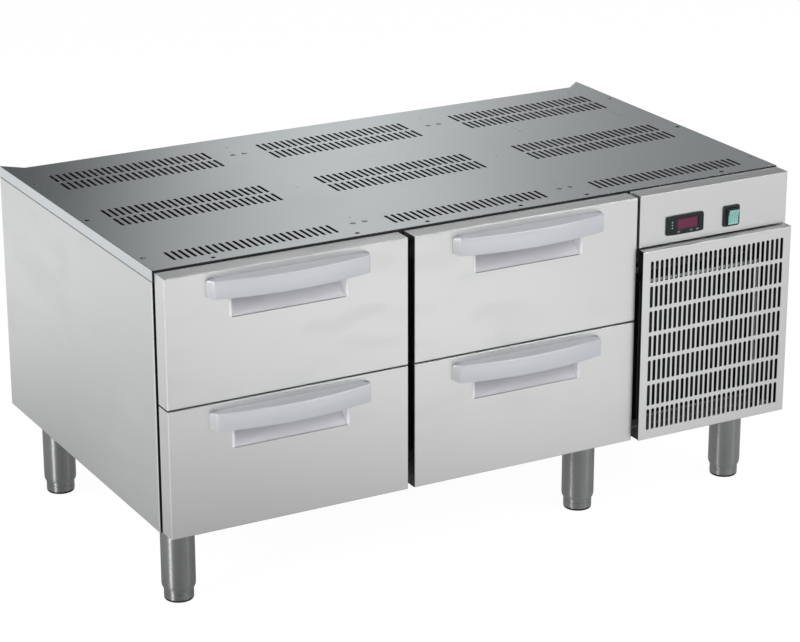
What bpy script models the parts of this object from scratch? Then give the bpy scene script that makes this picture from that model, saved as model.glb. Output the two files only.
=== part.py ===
# Refrigerated chef base: a low, four-drawer refrigerated stand for cooking appliances, with its
# condensing unit behind a slotted panel on the right. Metres, +Z up. The origin is on the floor,
# under the middle of the whole outline, and the drawers face -Y.

import math

import bmesh
import bpy
from mathutils import Vector

# Overall size
width = 1.200
body_depth = 0.662
height = 0.600
leg_height = 0.150
skin = 0.0012
fit = 0.0003

# Top plate: a pan with slots, a folded rim and a notch along the back for services
plate_thickness = 0.002
plate_rim = 0.020
plate_notch = 0.032
plate_ear = 0.035
slot_width = 0.0042
slot_length = 0.042
slots_per_row = 25
slot_groups = 3
slot_group_margin = 0.04875
slot_pitch = (width / slot_groups - slot_group_margin * 2) / slots_per_row
slot_row_gap = 0.0524
slot_first_row = 0.0540
slot_band_pitch = 0.2304
screw_hole = 0.0094
screw_edge = 0.012
screw_pair = 0.011
screw_front_row = 0.064
screw_from_back = 0.140
screw_back_row = body_depth - screw_from_back
screw_sides = 6

# Stiffeners under the plate, at the seams between the slot groups
rib_width = 0.044
rib_foot = 0.014
rib_setback = 0.012

# Outer panels
panel_fold = 0.015
panel_front = 0.005
vent_rows = 8
vent_margins = 0.0815
vent_width = 0.009
vent_pitch = 0.028
vent_low = 0.230

# The bay of the condensing unit, on the right
bay_width = 0.3115
bay_start = width - bay_width
bay_gap = 0.004

vent_length = bay_width - vent_margins

# Insulated cold box
box_front = 0.0065
side_insulation = 0.0485
floor_insulation = 0.047
back_insulation = 0.045
ceiling_gap = 0.0003
inner_bottom = 0.200
inner_from_top = 0.055
inner_top = height - inner_from_top
mullion = 0.050
crossbar = 0.030
frame_thickness = 0.020
box_start = skin + fit + side_insulation
opening_width = (bay_start - bay_gap - side_insulation - mullion - box_start) / 2
opening_middle = box_start + opening_width + mullion / 2
partition_depth = 0.530
partition_windows = 2
partition_frame = 0.030
return_air_length = 0.105
return_air_height = 0.130

# Drawer fronts
front_stand = 0.0375
front_thickness = 0.0365
front_radius = 0.003
front_bottom = 0.1526
front_from_top = 0.004
front_top = height - front_from_top
front_gap = 0.003
left_front_inset = 0.003
middle_gap_left = 0.0058
middle_gap_right = 0.0063
front_bay_gap = 0.0046
left_front_width = opening_middle - middle_gap_left - left_front_inset
right_front_start = opening_middle + middle_gap_right
right_front_width = bay_start - front_bay_gap - right_front_start

# Gaskets
gasket_width = 0.011
gasket_offset = 0.001

# Handles: a bowed bar over a scooped finger cup
handle_half_width = 0.146
handle_front_half = 0.139
handle_end_stand = 0.016
handle_bow = 0.0172
handle_below_top = 0.011
handle_height = 0.031
handle_wall = 0.0035
handle_back = 0.002
bow_points = 9
cup_corner_steps = 1
cup_half_width = 0.102
cup_bottom_below_top = 0.0795
cup_top_below_top = 0.017
cup_depth = 0.032
cup_rise = 0.026
cup_wall = 0.002
cup_curve = 1.6
cup_steps = 3
cup_corner = 0.006
cup_lip = 0.005
cup_lip_stand = 0.0015

# Drawer boxes and their telescopic slides
box_clear_below = 0.007
box_clear_above = 0.0125
box_height = (inner_top - inner_bottom - crossbar) / 2 - box_clear_below - box_clear_above
box_length = 0.540
box_wall = 0.0012
box_rim = 0.005
slide_space = 0.0142
slide_height = 0.045
slide_wall = 0.0015
slide_run = 0.530
slide_reach = 0.012
slide_from_bottom = 0.062
slide_start = 0.014
member_step = 0.0105

# Control panel, temperature controller and switch
control_from_bay = 0.0031
control_stand = 0.0334
control_from_top = 0.003
control_height = 0.093
control_start = bay_start + control_from_bay
control_top = height - control_from_top
control_bottom = control_top - control_height
finger_slot_start = 0.006
finger_slot_end = 0.022
finger_slot_low = 0.026
finger_slot_high = 0.0585
controller_share = 0.305939
controller_from_top = 0.065
controller_x = bay_start + bay_width * controller_share
controller_z = height - controller_from_top
bezel_width = 0.077
bezel_height = 0.035
bezel_radius = 0.004
bezel_stand = 0.0035
case_width = 0.071
case_height = 0.029
case_depth = 0.058
display_width = 0.044
display_height = 0.0175
display_x = 0.0042
display_z = 0.0012
display_recess = 0.0008
key_width = 0.0068
key_height = 0.0032
key_stand = 0.0005
key_depth = 0.0022
key_travel = 0.0006
key_row = -0.0122
key_places = (-0.0138, 0.0117, 0.0250)
switch_share = 0.618941
switch_from_top = 0.0654
switch_x = bay_start + bay_width * switch_share
switch_z = height - switch_from_top
switch_width = 0.035
switch_height = 0.038
switch_stand = 0.003
switch_body_width = 0.028
switch_body_height = 0.034
switch_body_depth = 0.030
rocker_width = 0.0214
rocker_height = 0.028
rocker_stand = 0.0085
rocker_depth = 0.014
rocker_swing = 0.0016
rocker_tilt_degrees = 7
smooth_degrees = 40
flat_angle = 0.0005

# Slotted service panel in front of the condensing unit
grille_start = bay_start
grille_stand = 0.0516
grille_bottom = 0.1548
grille_from_top = 0.0983
grille_top = height - grille_from_top
grille_slot_width = 0.005
grille_slot_bridge = 0.00635
grille_columns = 28
grille_rows = 7
grille_left_margin = 0.019
grille_right_margin = 0.0198
grille_low_margin = 0.0172
grille_high_margin = 0.0186
grille_pitch = (bay_width - grille_left_margin - grille_right_margin) / (grille_columns - 1)
grille_slot_rise = grille_top - grille_bottom - grille_low_margin - grille_high_margin
grille_row_pitch = (grille_slot_rise + grille_slot_bridge) / grille_rows
grille_slot_length = grille_row_pitch - grille_slot_bridge
grille_first_x = bay_start + grille_left_margin
grille_first_z = grille_bottom + grille_low_margin + grille_slot_length / 2

# Legs and feet
leg_diameter = 0.0576
leg_wall = 0.0030
leg_bottom = 0.022
leg_taper = 0.009
leg_from_left = 0.055
leg_from_bay = 0.0515
leg_from_right = 0.045
leg_from_front = 0.060
leg_from_back = 0.083
leg_columns = (leg_from_left, bay_start - leg_from_bay, width - leg_from_right)
leg_rows = (leg_from_front, body_depth - leg_from_back)
foot_diameter = 0.0504
foot_top = 0.066
foot_chamfer = 0.0015
leg_sides = 12
foot_sides = 12

# Condensing unit
tray_from_bay = 0.0035
tray_from_right = 0.008
tray_start = bay_start + tray_from_bay
tray_end = width - tray_from_right
tray_front = 0.008
tray_length = 0.590
tray_rim = 0.016
coil_from_bay = 0.0365
coil_from_right = 0.014
coil_from_top = 0.176
coil_start = bay_start + coil_from_bay
coil_end = width - coil_from_right
coil_front = 0.012
coil_depth = 0.045
coil_bottom = 0.172
coil_top = height - coil_from_top
coil_fins = 12
fin_depth = 0.008
fin_share = 0.45
coil_plate = 0.002
shroud_depth = 0.024
fan_edge = 0.028
fan_radius = min(coil_top - coil_bottom, coil_end - coil_start) / 2 - fan_edge
fan_tip_gap = 0.005
fan_hub_radius = 0.032
fan_width = 0.020
fan_blades = 5
blade_thickness = 0.0016
motor_radius = 0.036
motor_length = 0.050
bracket_width = 0.022
bracket_thickness = 0.0025
compressor_from_bay = 0.1565
compressor_x = bay_start + compressor_from_bay
compressor_y = 0.310
compressor_radius = 0.082
evaporator_from_top = 0.032
evaporator_height = 0.168
evaporator_top = height - evaporator_from_top
evaporator_bottom = evaporator_top - evaporator_height
compressor_headroom = 0.204
compressor_height = evaporator_bottom - compressor_headroom
compressor_stand = 0.016
dome_share = 0.14
shell_sides = 12
mount_radius = 0.011
mount_spread = 0.062
mount_sides = 6
terminal_width = 0.060
terminal_height = 0.055
terminal_depth = 0.030

# Evaporator, in its own insulated box behind the cold box's right wall
evaporator_front = 0.330
evaporator_length = 0.270
evaporator_width = 0.170
evaporator_wall = 0.020
evaporator_coil_depth = 0.050
evaporator_coil_setback = 0.045
evaporator_fins = 9
small_fan_radius = 0.048
small_fan_hub = 0.017
small_fan_width = 0.016
small_fan_setback = 0.020
small_motor_radius = 0.022
duct_radius = 0.053
duct_from_back = 0.075

# Pipes and the cable gland
pipe_radius = 0.004
bend_share = 4
bend_steps = 2
gland_radius = 0.011
gland_length = 0.020
gland_bore = 0.0045
gland_from_right = 0.080
gland_z = 0.187
gland_sides = 10

# Places worked out from the sizes above
handle_stand = handle_end_stand + handle_bow
total_depth = body_depth + front_stand + handle_stand
left = -width / 2
right = width / 2
front = -total_depth / 2 + front_stand + handle_stand
back = front + body_depth
back_panel = back - plate_notch
under_plate = height - plate_rim
panel_top = under_plate - fit
floor_top = leg_height + skin + fit + skin + fit
box_top = panel_top - skin - fit
box_back = back_panel - panel_fold / 2 - fit
open_left = left + box_start
column_starts = (open_left, open_left + opening_width + mullion)
open_right = column_starts[1] + opening_width
open_height = (inner_top - inner_bottom - crossbar) / 2
row_bottoms = (inner_bottom, inner_bottom + open_height + crossbar)
front_height = (front_top - front_bottom - front_gap) / 2
front_bottoms = (front_bottom, front_bottom + front_height + front_gap)
front_starts = (left + left_front_inset, left + right_front_start)
front_widths = (left_front_width, right_front_width)
column_names = ("left", "right")
row_names = ("lower", "upper")

steel = ("brushed_steel", (0.78, 0.79, 0.80), 0.34, 1.0)
plate_steel = ("plate_steel", (0.50, 0.52, 0.53), 0.38, 1.0)
foam_skin = ("liner_steel", (0.74, 0.75, 0.76), 0.40, 1.0)
zinc = ("zinc_plated_steel", (0.62, 0.63, 0.64), 0.45, 1.0)
polished = ("polished_steel", (0.66, 0.67, 0.68), 0.16, 1.0)
handle_grey = ("silver_plastic", (0.62, 0.62, 0.65), 0.42, 0.0)
gasket_black = ("gasket_rubber", (0.03, 0.03, 0.03), 0.75, 0.0)
case_black = ("controller_plastic", (0.03, 0.04, 0.04), 0.35, 0.0)
key_grey = ("key_plastic", (0.10, 0.12, 0.12), 0.50, 0.0)
rocker_green = ("rocker_plastic", (0.26, 0.55, 0.50), 0.25, 0.0)
enamel = ("black_enamel", (0.02, 0.02, 0.02), 0.35, 0.0)
fins_metal = ("aluminium_fins", (0.55, 0.56, 0.57), 0.50, 1.0)
fan_plastic = ("fan_plastic", (0.05, 0.05, 0.05), 0.55, 0.0)
copper = ("copper", (0.72, 0.42, 0.28), 0.30, 1.0)


def clear_scene():
    for item in list(bpy.data.objects):
        bpy.data.objects.remove(item, do_unlink=True)


def material(finish):
    name, colour, roughness, metallic = finish
    found = bpy.data.materials.get(name)
    if found:
        return found
    made = bpy.data.materials.new(name)
    made.use_nodes = True
    shader = made.node_tree.nodes["Principled BSDF"]
    shader.inputs["Base Color"].default_value = (*colour, 1.0)
    shader.inputs["Roughness"].default_value = roughness
    shader.inputs["Metallic"].default_value = metallic
    return made


def add_object(name, bm, location, finish):
    return add_mesh(name, mesh_of(name, bm, finish), location)


def mesh_of(name, bm, finish):
    bmesh.ops.recalc_face_normals(bm, faces=bm.faces)
    mesh = bpy.data.meshes.new(name)
    bm.to_mesh(mesh)
    bm.free()
    mesh.materials.append(material(finish))
    return mesh


def add_mesh(name, mesh, location):
    mesh.shade_smooth()
    mesh.set_sharp_from_angle(angle=math.radians(smooth_degrees))
    piece = bpy.data.objects.new(name, mesh)
    piece.location = location
    bpy.context.collection.objects.link(piece)
    return piece


def united(name, finish, bodies, cutters=()):
    # One solid from several that overlap, less the cutters
    helpers = []
    for index, bm in enumerate(list(bodies) + list(cutters)):
        helper = add_mesh("helper_" + str(index), mesh_of("helper", bm, finish), (0, 0, 0))
        helpers.append(helper)
        if index == 0:
            continue
        modifier = helpers[0].modifiers.new(helper.name, "BOOLEAN")
        modifier.operation = "UNION" if index < len(bodies) else "DIFFERENCE"
        modifier.solver = "EXACT"
        modifier.object = helper
    bpy.context.view_layer.update()
    graph = bpy.context.evaluated_depsgraph_get()
    mesh = bpy.data.meshes.new_from_object(helpers[0].evaluated_get(graph), depsgraph=graph)
    mesh.name = name
    for helper in helpers:
        bpy.data.objects.remove(helper, do_unlink=True)
    merge_flat_faces(mesh)
    return mesh


def merge_flat_faces(mesh):
    # The unions leave flat faces cut in pieces; these go back to whole ones
    bm = bmesh.new()
    bm.from_mesh(mesh)
    bmesh.ops.dissolve_limit(bm, angle_limit=flat_angle, verts=bm.verts, edges=bm.edges)
    bmesh.ops.triangulate(bm, faces=bm.faces)
    bm.to_mesh(mesh)
    bm.free()


# A side of the object that a sheet or a block faces: the directions of its width, its height
# and the way into the material
facing_front = (Vector((1, 0, 0)), Vector((0, 0, 1)), Vector((0, 1, 0)))
facing_back = (Vector((1, 0, 0)), Vector((0, 0, 1)), Vector((0, -1, 0)))
facing_up = (Vector((1, 0, 0)), Vector((0, 1, 0)), Vector((0, 0, -1)))
facing_down = (Vector((1, 0, 0)), Vector((0, 1, 0)), Vector((0, 0, 1)))
facing_left = (Vector((0, 1, 0)), Vector((0, 0, 1)), Vector((1, 0, 0)))
facing_right = (Vector((0, 1, 0)), Vector((0, 0, 1)), Vector((-1, 0, 0)))


def rectangle(low_u, low_v, high_u, high_v):
    return [(low_u, low_v), (high_u, low_v), (high_u, high_v), (low_u, high_v)]


def centred(middle_u, middle_v, size_u, size_v):
    half_u, half_v = size_u / 2, size_v / 2
    return rectangle(middle_u - half_u, middle_v - half_v, middle_u + half_u, middle_v + half_v)


def rounded(middle_u, middle_v, size_u, size_v, radius, steps=2):
    points = []
    corners = ((1, 1), (-1, 1), (-1, -1), (1, -1))
    for quarter, (side_u, side_v) in enumerate(corners):
        centre_u = middle_u + side_u * (size_u / 2 - radius)
        centre_v = middle_v + side_v * (size_v / 2 - radius)
        for step in range(steps + 1):
            angle = math.pi / 2 * (quarter + step / steps)
            points.append((centre_u + radius * math.cos(angle), centre_v + radius * math.sin(angle)))
    return points


def circle(middle_u, middle_v, radius, sides=12):
    turn = math.tau / sides
    return [
        (middle_u + radius * math.cos(turn * (side + 1 / 2)), middle_v + radius * math.sin(turn * (side + 1 / 2)))
        for side in range(sides)
    ]


def inset(outline, distance):
    # Each edge moves inwards by the distance; a corner is where its two moved edges cross
    count = len(outline)
    area = sum(
        outline[i][0] * outline[(i + 1) % count][1] - outline[(i + 1) % count][0] * outline[i][1]
        for i in range(count)
    )
    turn = 1 if area > 0 else -1
    moved = []
    for i in range(count):
        before = Vector(outline[i - 1])
        here = Vector(outline[i])
        after = Vector(outline[(i + 1) % count])
        first = (here - before).normalized()
        second = (after - here).normalized()
        normal_first = Vector((-first.y, first.x)) * turn
        normal_second = Vector((-second.y, second.x)) * turn
        bisector = normal_first + normal_second
        moved.append(tuple(here + bisector * (distance * 2 / bisector.length_squared)))
    return moved


def ring_edges(bm, loop):
    edges = []
    for i, vert in enumerate(loop):
        pair = (vert, loop[(i + 1) % len(loop)])
        edges.append(bm.edges.get(pair) or bm.edges.new(pair))
    return edges


def bridge(bm, first, second):
    count = len(first)
    for i in range(count):
        after = (i + 1) % count
        bm.faces.new((first[i], first[after], second[after], second[i]))


def cap(bm, loop, holes):
    if not holes:
        bm.faces.new(loop)
        return
    edges = ring_edges(bm, loop)
    for hole in holes:
        edges += ring_edges(bm, hole)
    bmesh.ops.triangle_fill(bm, edges=edges, use_beauty=True)


def formed(facing, chain, holes=(), pockets=(), at=(0, 0, 0)):
    # One closed solid: a chain of outlines, each at its own depth, joined edge to edge and
    # closed by its first and last outline. Holes run through from cap to cap, and pockets
    # sink into the first cap.
    bm = bmesh.new()
    along_u, along_v, inward = facing
    start = Vector(at)

    def loop(outline, depth):
        return [bm.verts.new(start + along_u * u + along_v * v + inward * depth) for u, v in outline]

    loops = [loop(outline, depth) for outline, depth in chain]
    for first, second in zip(loops, loops[1:]):
        bridge(bm, first, second)
    first_depth = chain[0][1]
    last_depth = chain[-1][1]
    upper = [loop(hole, first_depth) for hole in holes]
    lower = [loop(hole, last_depth) for hole in holes]
    for one, other in zip(upper, lower):
        bridge(bm, one, other)
    mouths = []
    for outline, depth in pockets:
        mouth = loop(outline, first_depth)
        floor = loop(outline, first_depth + depth)
        bridge(bm, mouth, floor)
        bm.faces.new(floor)
        mouths.append(mouth)
    cap(bm, loops[0], upper + mouths)
    cap(bm, loops[-1], lower)
    return bm


def block(low, high):
    outline = rectangle(low[0], low[1], high[0], high[1])
    return formed(facing_down, [(outline, low[2]), (outline, high[2])])


def pan(facing, outline, thickness, fold, wall, holes=(), at=(0, 0, 0)):
    # A sheet whose edges are folded inwards all round
    inner = inset(outline, wall)
    chain = [(outline, 0), (outline, fold), (inner, fold), (inner, thickness)]
    return formed(facing, chain, holes=holes, at=at)


def turned(facing, profile, sides=12, at=(0, 0, 0)):
    # A turned solid: the profile gives radius and depth along the axis
    chain = [(circle(0, 0, radius, sides), depth) for radius, depth in profile]
    return formed(facing, chain, at=at)


def rib_columns():
    return [width * (index + 1) / slot_groups for index in range(slot_groups - 1)]


def plate_slots():
    slots = []
    rows = [slot_first_row]
    for band in range(1, slot_groups):
        middle = slot_first_row - slot_row_gap / 2 + band * slot_band_pitch
        rows += [middle - slot_row_gap / 2, middle + slot_row_gap / 2]
    for group in range(slot_groups):
        middle = width * (group + 1 / 2) / slot_groups
        first = middle - slot_pitch * (slots_per_row - 1) / 2
        for row in rows:
            for index in range(slots_per_row):
                slots.append(centred(first + slot_pitch * index, row, slot_width, slot_length))
    return slots


def screw_places():
    rows = (screw_front_row, screw_back_row)
    places = [(column, row) for column in (screw_edge, width - screw_edge) for row in rows]
    for column in rib_columns():
        for row in rows:
            places += [(column - screw_pair, row), (column + screw_pair, row)]
    return places


def make_top_plate():
    ear = body_depth - plate_notch
    outline = [
        (0, 0),
        (width, 0),
        (width, body_depth),
        (width - plate_ear, ear),
        (plate_ear, ear),
        (0, body_depth),
    ]
    holes = plate_slots() + [circle(u, v, screw_hole / 2, screw_sides) for u, v in screw_places()]
    bodies = [pan(facing_up, outline, plate_thickness, plate_rim, plate_thickness, holes)]
    crown = -plate_thickness * 3 / 4
    floor = box_top + ceiling_gap - height
    for column in rib_columns():
        outer = rib_width / 2
        inner = outer - plate_thickness
        foot = outer + rib_foot
        profile = [
            (-foot, floor), (-inner, floor), (-inner, crown - plate_thickness),
            (inner, crown - plate_thickness), (inner, floor), (foot, floor),
            (foot, floor + plate_thickness), (outer, floor + plate_thickness),
            (outer, crown), (-outer, crown), (-outer, floor + plate_thickness),
            (-foot, floor + plate_thickness),
        ]
        end = ear - rib_setback
        bodies.append(formed(facing_front, [(profile, rib_setback), (profile, end)], at=(column, 0, 0)))
    add_mesh("top_plate", united("top_plate", plate_steel, bodies), (left, front, height))


def make_side_panels():
    outline = rectangle(panel_front, 0, body_depth, panel_top - leg_height)
    for name, side, facing in (("left", left, facing_left), ("right", right, facing_right)):
        sheet = pan(facing, outline, skin, panel_fold, skin)
        add_object(name + "_side_panel", sheet, (side, front, leg_height), steel)


def make_bottom_and_legs():
    # The bottom sheet with its six leg tubes welded on; each tube narrows to its mouth
    inside = skin + fit
    outline = rectangle(inside, panel_front + skin + fit, width - inside, body_depth - plate_notch)
    low = leg_height + skin + fit
    bodies = [formed(facing_down, [(outline, low), (outline, low + skin)])]
    radius = leg_diameter / 2
    mouth = radius - leg_wall
    top = low + skin / 2
    profile = [
        (radius, -top), (radius, -leg_bottom - leg_taper), (mouth + skin, -leg_bottom),
        (mouth, -leg_bottom), (mouth, -top + leg_wall),
    ]
    for column, row in leg_places():
        bodies.append(turned(facing_up, profile, leg_sides, at=(column, row, 0)))
    mesh = united("bottom_and_legs", steel, bodies)
    add_mesh("bottom_and_legs", mesh, (left, front, 0))


def make_rear_panel():
    inside = skin + fit
    low = floor_top
    outline = rectangle(inside, 0, width - inside, box_top - low)
    middle = (tray_start + tray_end) / 2
    holes = [
        centred(middle, vent_low - low + row * vent_pitch, vent_length, vent_width)
        for row in range(vent_rows)
    ]
    holes.append(circle(width - gland_from_right, gland_z - low, gland_radius + fit, gland_sides))
    sheet = pan(facing_back, outline, skin, panel_fold / 2, skin, holes)
    add_object("rear_panel", sheet, (left, back_panel, low), steel)


def make_cable_gland():
    flange = gland_radius + gland_bore
    outer = [(gland_bore, -gland_length / 2), (gland_radius - gland_bore / 2, -gland_length / 2)]
    outer += [(flange, -gland_bore), (flange, -fit), (gland_radius, -fit), (gland_radius, gland_length / 2)]
    outer += [(gland_bore, gland_length / 2)]
    bm = bmesh.new()
    rings = [
        [bm.verts.new((u, -depth, v)) for u, v in circle(0, 0, radius, gland_sides)]
        for radius, depth in outer
    ]
    for first, second in zip(rings, rings[1:] + rings[:1]):
        bridge(bm, first, second)
    place = (right - gland_from_right, back_panel, gland_z)
    add_object("cable_gland", bm, place, case_black)


def make_cold_box():
    start = front + box_front
    depth = box_back - start
    inside = open_right - open_left - fit * 2
    floor = block((0, 0, 0), (inside, depth, inner_bottom - floor_top))
    add_object("cold_box_floor", floor, (open_left + fit, start, floor_top), foam_skin)
    ceiling = block((0, 0, 0), (inside, depth, box_top - inner_top))
    add_object("cold_box_ceiling", ceiling, (open_left + fit, start, inner_top), foam_skin)
    back_wall = block((0, 0, 0), (inside, back_insulation, inner_top - inner_bottom - fit * 2))
    place = (open_left + fit, box_back - back_insulation, inner_bottom + fit)
    add_object("cold_box_back_wall", back_wall, place, foam_skin)
    thick = open_left - left - skin - fit
    side = block((-thick, box_front, floor_top), (0, box_back - front, box_top))
    rails = slide_rails(0, 1)
    mesh = united("cold_box_left_wall", foam_skin, [side] + rails)
    add_mesh("cold_box_left_wall", mesh, (open_left, front, 0))
    make_cold_box_right_wall()


def slide_rails(wall_x, turn):
    # The fixed members of the slides on one wall, their webs let into it
    outer_half = slide_height / 2
    start = box_front + frame_thickness
    rails = []
    for row in row_bottoms:
        middle = row + box_clear_below + slide_from_bottom
        web_x = wall_x - turn * slide_wall / 2
        reach = turn * (slide_reach + slide_wall / 2)
        rails.append(channel(web_x, slide_wall * 3 / 2, reach, outer_half, middle, start, start + slide_run))
    return rails


def duct_place():
    # The middle of the fan's duct, from the front of the body and from the floor
    depth = evaporator_front + evaporator_length - duct_from_back
    return depth, (evaporator_bottom + evaporator_top) / 2


def make_cold_box_right_wall():
    duct_y, duct_z = duct_place()
    outline = rectangle(box_front, floor_top, box_back - front, box_top)
    return_y = evaporator_front + evaporator_wall + return_air_length / 2
    holes = [
        circle(duct_y, duct_z, duct_radius, 16),
        centred(return_y, duct_z, return_air_length, return_air_height),
    ]
    side = formed(facing_left, [(outline, 0), (outline, side_insulation)], holes)
    mesh = united("cold_box_right_wall", foam_skin, [side] + slide_rails(0, -1))
    add_mesh("cold_box_right_wall", mesh, (open_right, front, 0))


def make_front_frame():
    mullion_left = column_starts[0] + opening_width - left
    mullion_right = column_starts[1] - left
    start = open_left - left + fit
    end = open_right - left - fit
    bar_low = row_bottoms[1] - crossbar
    bar_high = row_bottoms[1]
    low = inner_bottom + fit
    high = inner_top - fit
    outline = [
        (start, bar_low), (mullion_left, bar_low), (mullion_left, low), (mullion_right, low),
        (mullion_right, bar_low), (end, bar_low), (end, bar_high), (mullion_right, bar_high),
        (mullion_right, high), (mullion_left, high), (mullion_left, bar_high), (start, bar_high),
    ]
    frame = formed(facing_front, [(outline, 0), (outline, frame_thickness)])
    add_object("front_frame", frame, (left, front + box_front, 0), foam_skin)


def make_centre_partition():
    # A sheet folded to a U around the middle, with air windows, and rails on both its sides
    start = box_front + frame_thickness + fit
    end = start + partition_depth
    low = inner_bottom + fit
    high = inner_top - fit
    plan = [
        (0, start), (mullion, start), (mullion, end), (mullion - skin, end),
        (mullion - skin, start + skin), (skin, start + skin), (skin, end), (0, end),
    ]
    bodies = [formed(facing_down, [(plan, low), (plan, high)])]
    bodies += slide_rails(0, -1) + slide_rails(mullion, 1)
    window = (partition_depth - partition_frame * (partition_windows + 1)) / partition_windows
    cutters = []
    for row in row_bottoms:
        top = row + open_height - partition_frame / 2
        for index in range(partition_windows):
            first = start + partition_frame + index * (window + partition_frame)
            cutters.append(block((-skin, first, top - partition_frame), (mullion + skin, first + window, top)))
    mesh = united("centre_partition", foam_skin, bodies, cutters)
    add_mesh("centre_partition", mesh, (column_starts[0] + opening_width, front, 0))


def handle_plan(end, half, stand, bow, edge):
    # The bar seen from above: a straight back and a front bowed as a parabola
    points = [(end, edge), (-end, edge)]
    for index in range(bow_points):
        share = index * 2 / (bow_points - 1) - 1
        points.append((half * share, -stand - bow * (1 - share * share)))
    return points


def make_handle_mesh():
    # Origin on the front face of the drawer, at the top edge of the drawer front, mid width
    top = -handle_below_top
    bottom = top - handle_height
    outer = handle_plan(handle_half_width, handle_front_half, handle_end_stand, handle_bow, -fit)
    inner = handle_plan(
        handle_half_width - handle_wall * 2,
        handle_front_half - handle_wall,
        handle_end_stand - handle_wall,
        handle_bow,
        -handle_back,
    )
    edge = handle_wall / 3
    chain = [(inset(outer, edge), -top), (outer, -top + edge), (outer, -bottom)]
    chain += [(inner, -bottom), (inner, -top + handle_wall)]
    bar = formed(facing_up, chain)
    half = cup_half_width
    cup_top = -cup_top_below_top
    mouth = block(
        (-half + fit, -handle_back * 2, bottom - handle_wall),
        (half - fit, cup_depth / 2, cup_top - fit),
    )
    return united("drawer_handle", handle_grey, [make_cup(), bar], [mouth])


def make_cup():
    # A scoop: each section back has its lower edge higher, the inside and outside alike
    cup_top = -cup_top_below_top
    cup_bottom = -cup_bottom_below_top

    def section(share, grow):
        low = cup_bottom + cup_rise * share ** cup_curve - grow
        high = cup_top + grow
        size = (cup_half_width * 2 + grow * 2, high - low)
        return rounded(0, (low + high) / 2, size[0], size[1], cup_corner + grow, cup_corner_steps)

    shares = [step / cup_steps for step in range(cup_steps + 1)]
    face = -cup_lip_stand - fit
    inside = [(section(share, 0), cup_depth * share) for share in reversed(shares[1:])]
    outside = [(section(share, cup_wall), cup_depth * share + cup_wall) for share in shares[1:]]
    rim = [(section(0, 0), face), (section(0, cup_lip), face), (section(0, cup_lip), -fit)]
    rim.append((section(0, cup_wall), -fit))
    return formed(facing_front, inside + rim + outside)


def make_drawer_front(name, place, size_x):
    half = size_x / 2
    outline = rectangle(-half, 0, half, front_height)
    third = front_radius * (1 - math.cos(math.pi / 4))
    deeper = front_radius * (1 - math.sin(math.pi / 4))
    chain = [(inset(outline, front_radius), 0), (inset(outline, third), deeper)]
    chain += [(outline, front_radius), (outline, front_thickness)]
    reach = cup_half_width + cup_wall + fit
    low = front_height - cup_bottom_below_top - cup_wall - fit
    high = front_height - cup_top_below_top + cup_wall + fit
    depth = cup_depth + cup_wall + fit
    slab = formed(facing_front, chain, pockets=[(rectangle(-reach, low, reach, high), depth)])
    return add_object(name, slab, place, steel)


def make_gasket(name, place, low, high):
    # A ring between the drawer front and the frame of the opening
    hole = rectangle(low[0], low[1], high[0], high[1])
    outer = inset(hole, -gasket_width)
    start = front_thickness + fit
    end = front_stand + box_front - fit
    ring = formed(facing_front, [(outer, start), (outer, end)], holes=[hole])
    return add_object(name, ring, place, gasket_black)


def channel(web_x, web, reach, half_height, middle_z, start, end):
    # A C profile: its web stands at web_x and its lips run across by the reach
    inner = web if reach > 0 else -web
    lip = slide_wall
    profile = [
        (0, -half_height), (reach, -half_height), (reach, -half_height + lip), (inner, -half_height + lip),
        (inner, half_height - lip), (reach, half_height - lip), (reach, half_height), (0, half_height),
    ]
    return formed(facing_front, [(profile, start), (profile, end)], at=(web_x, 0, middle_z))


def make_box_mesh():
    # A drawer box with its inner slide members along its sides. Origin at the front of the
    # opening's floor, mid width, behind the drawer front
    half = opening_width / 2 - slide_space
    outer = rectangle(-half, box_rim, half, box_length)
    rim = inset(outer, -box_rim)
    inner = inset(outer, box_wall)
    low = box_clear_below
    top = low + box_height
    chain = [(outer, low), (outer, top - box_wall), (rim, top - box_wall), (rim, top)]
    chain += [(inner, top), (inner, low + box_wall)]
    bodies = [formed(facing_down, chain)]
    inner_half = slide_height / 2 - slide_wall * 2 - fit * 2
    middle = low + slide_from_bottom
    reach = slide_space - slide_wall * 2 - fit * 2 + box_wall / 2
    web = slide_wall + box_wall / 2
    for turn in (-1, 1):
        web_x = turn * (half - box_wall / 2)
        bodies.append(channel(web_x, web, turn * reach, inner_half, middle, 0, slide_run))
    return united("drawer_box", foam_skin, bodies)


def make_member_mesh(turn):
    # The middle member of a slide, open towards the drawer box
    half = slide_height / 2 - slide_wall - fit
    bm = channel(0, slide_wall, turn * member_step, half, 0, 0, slide_run)
    return mesh_of("slide_member", bm, zinc)


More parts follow.
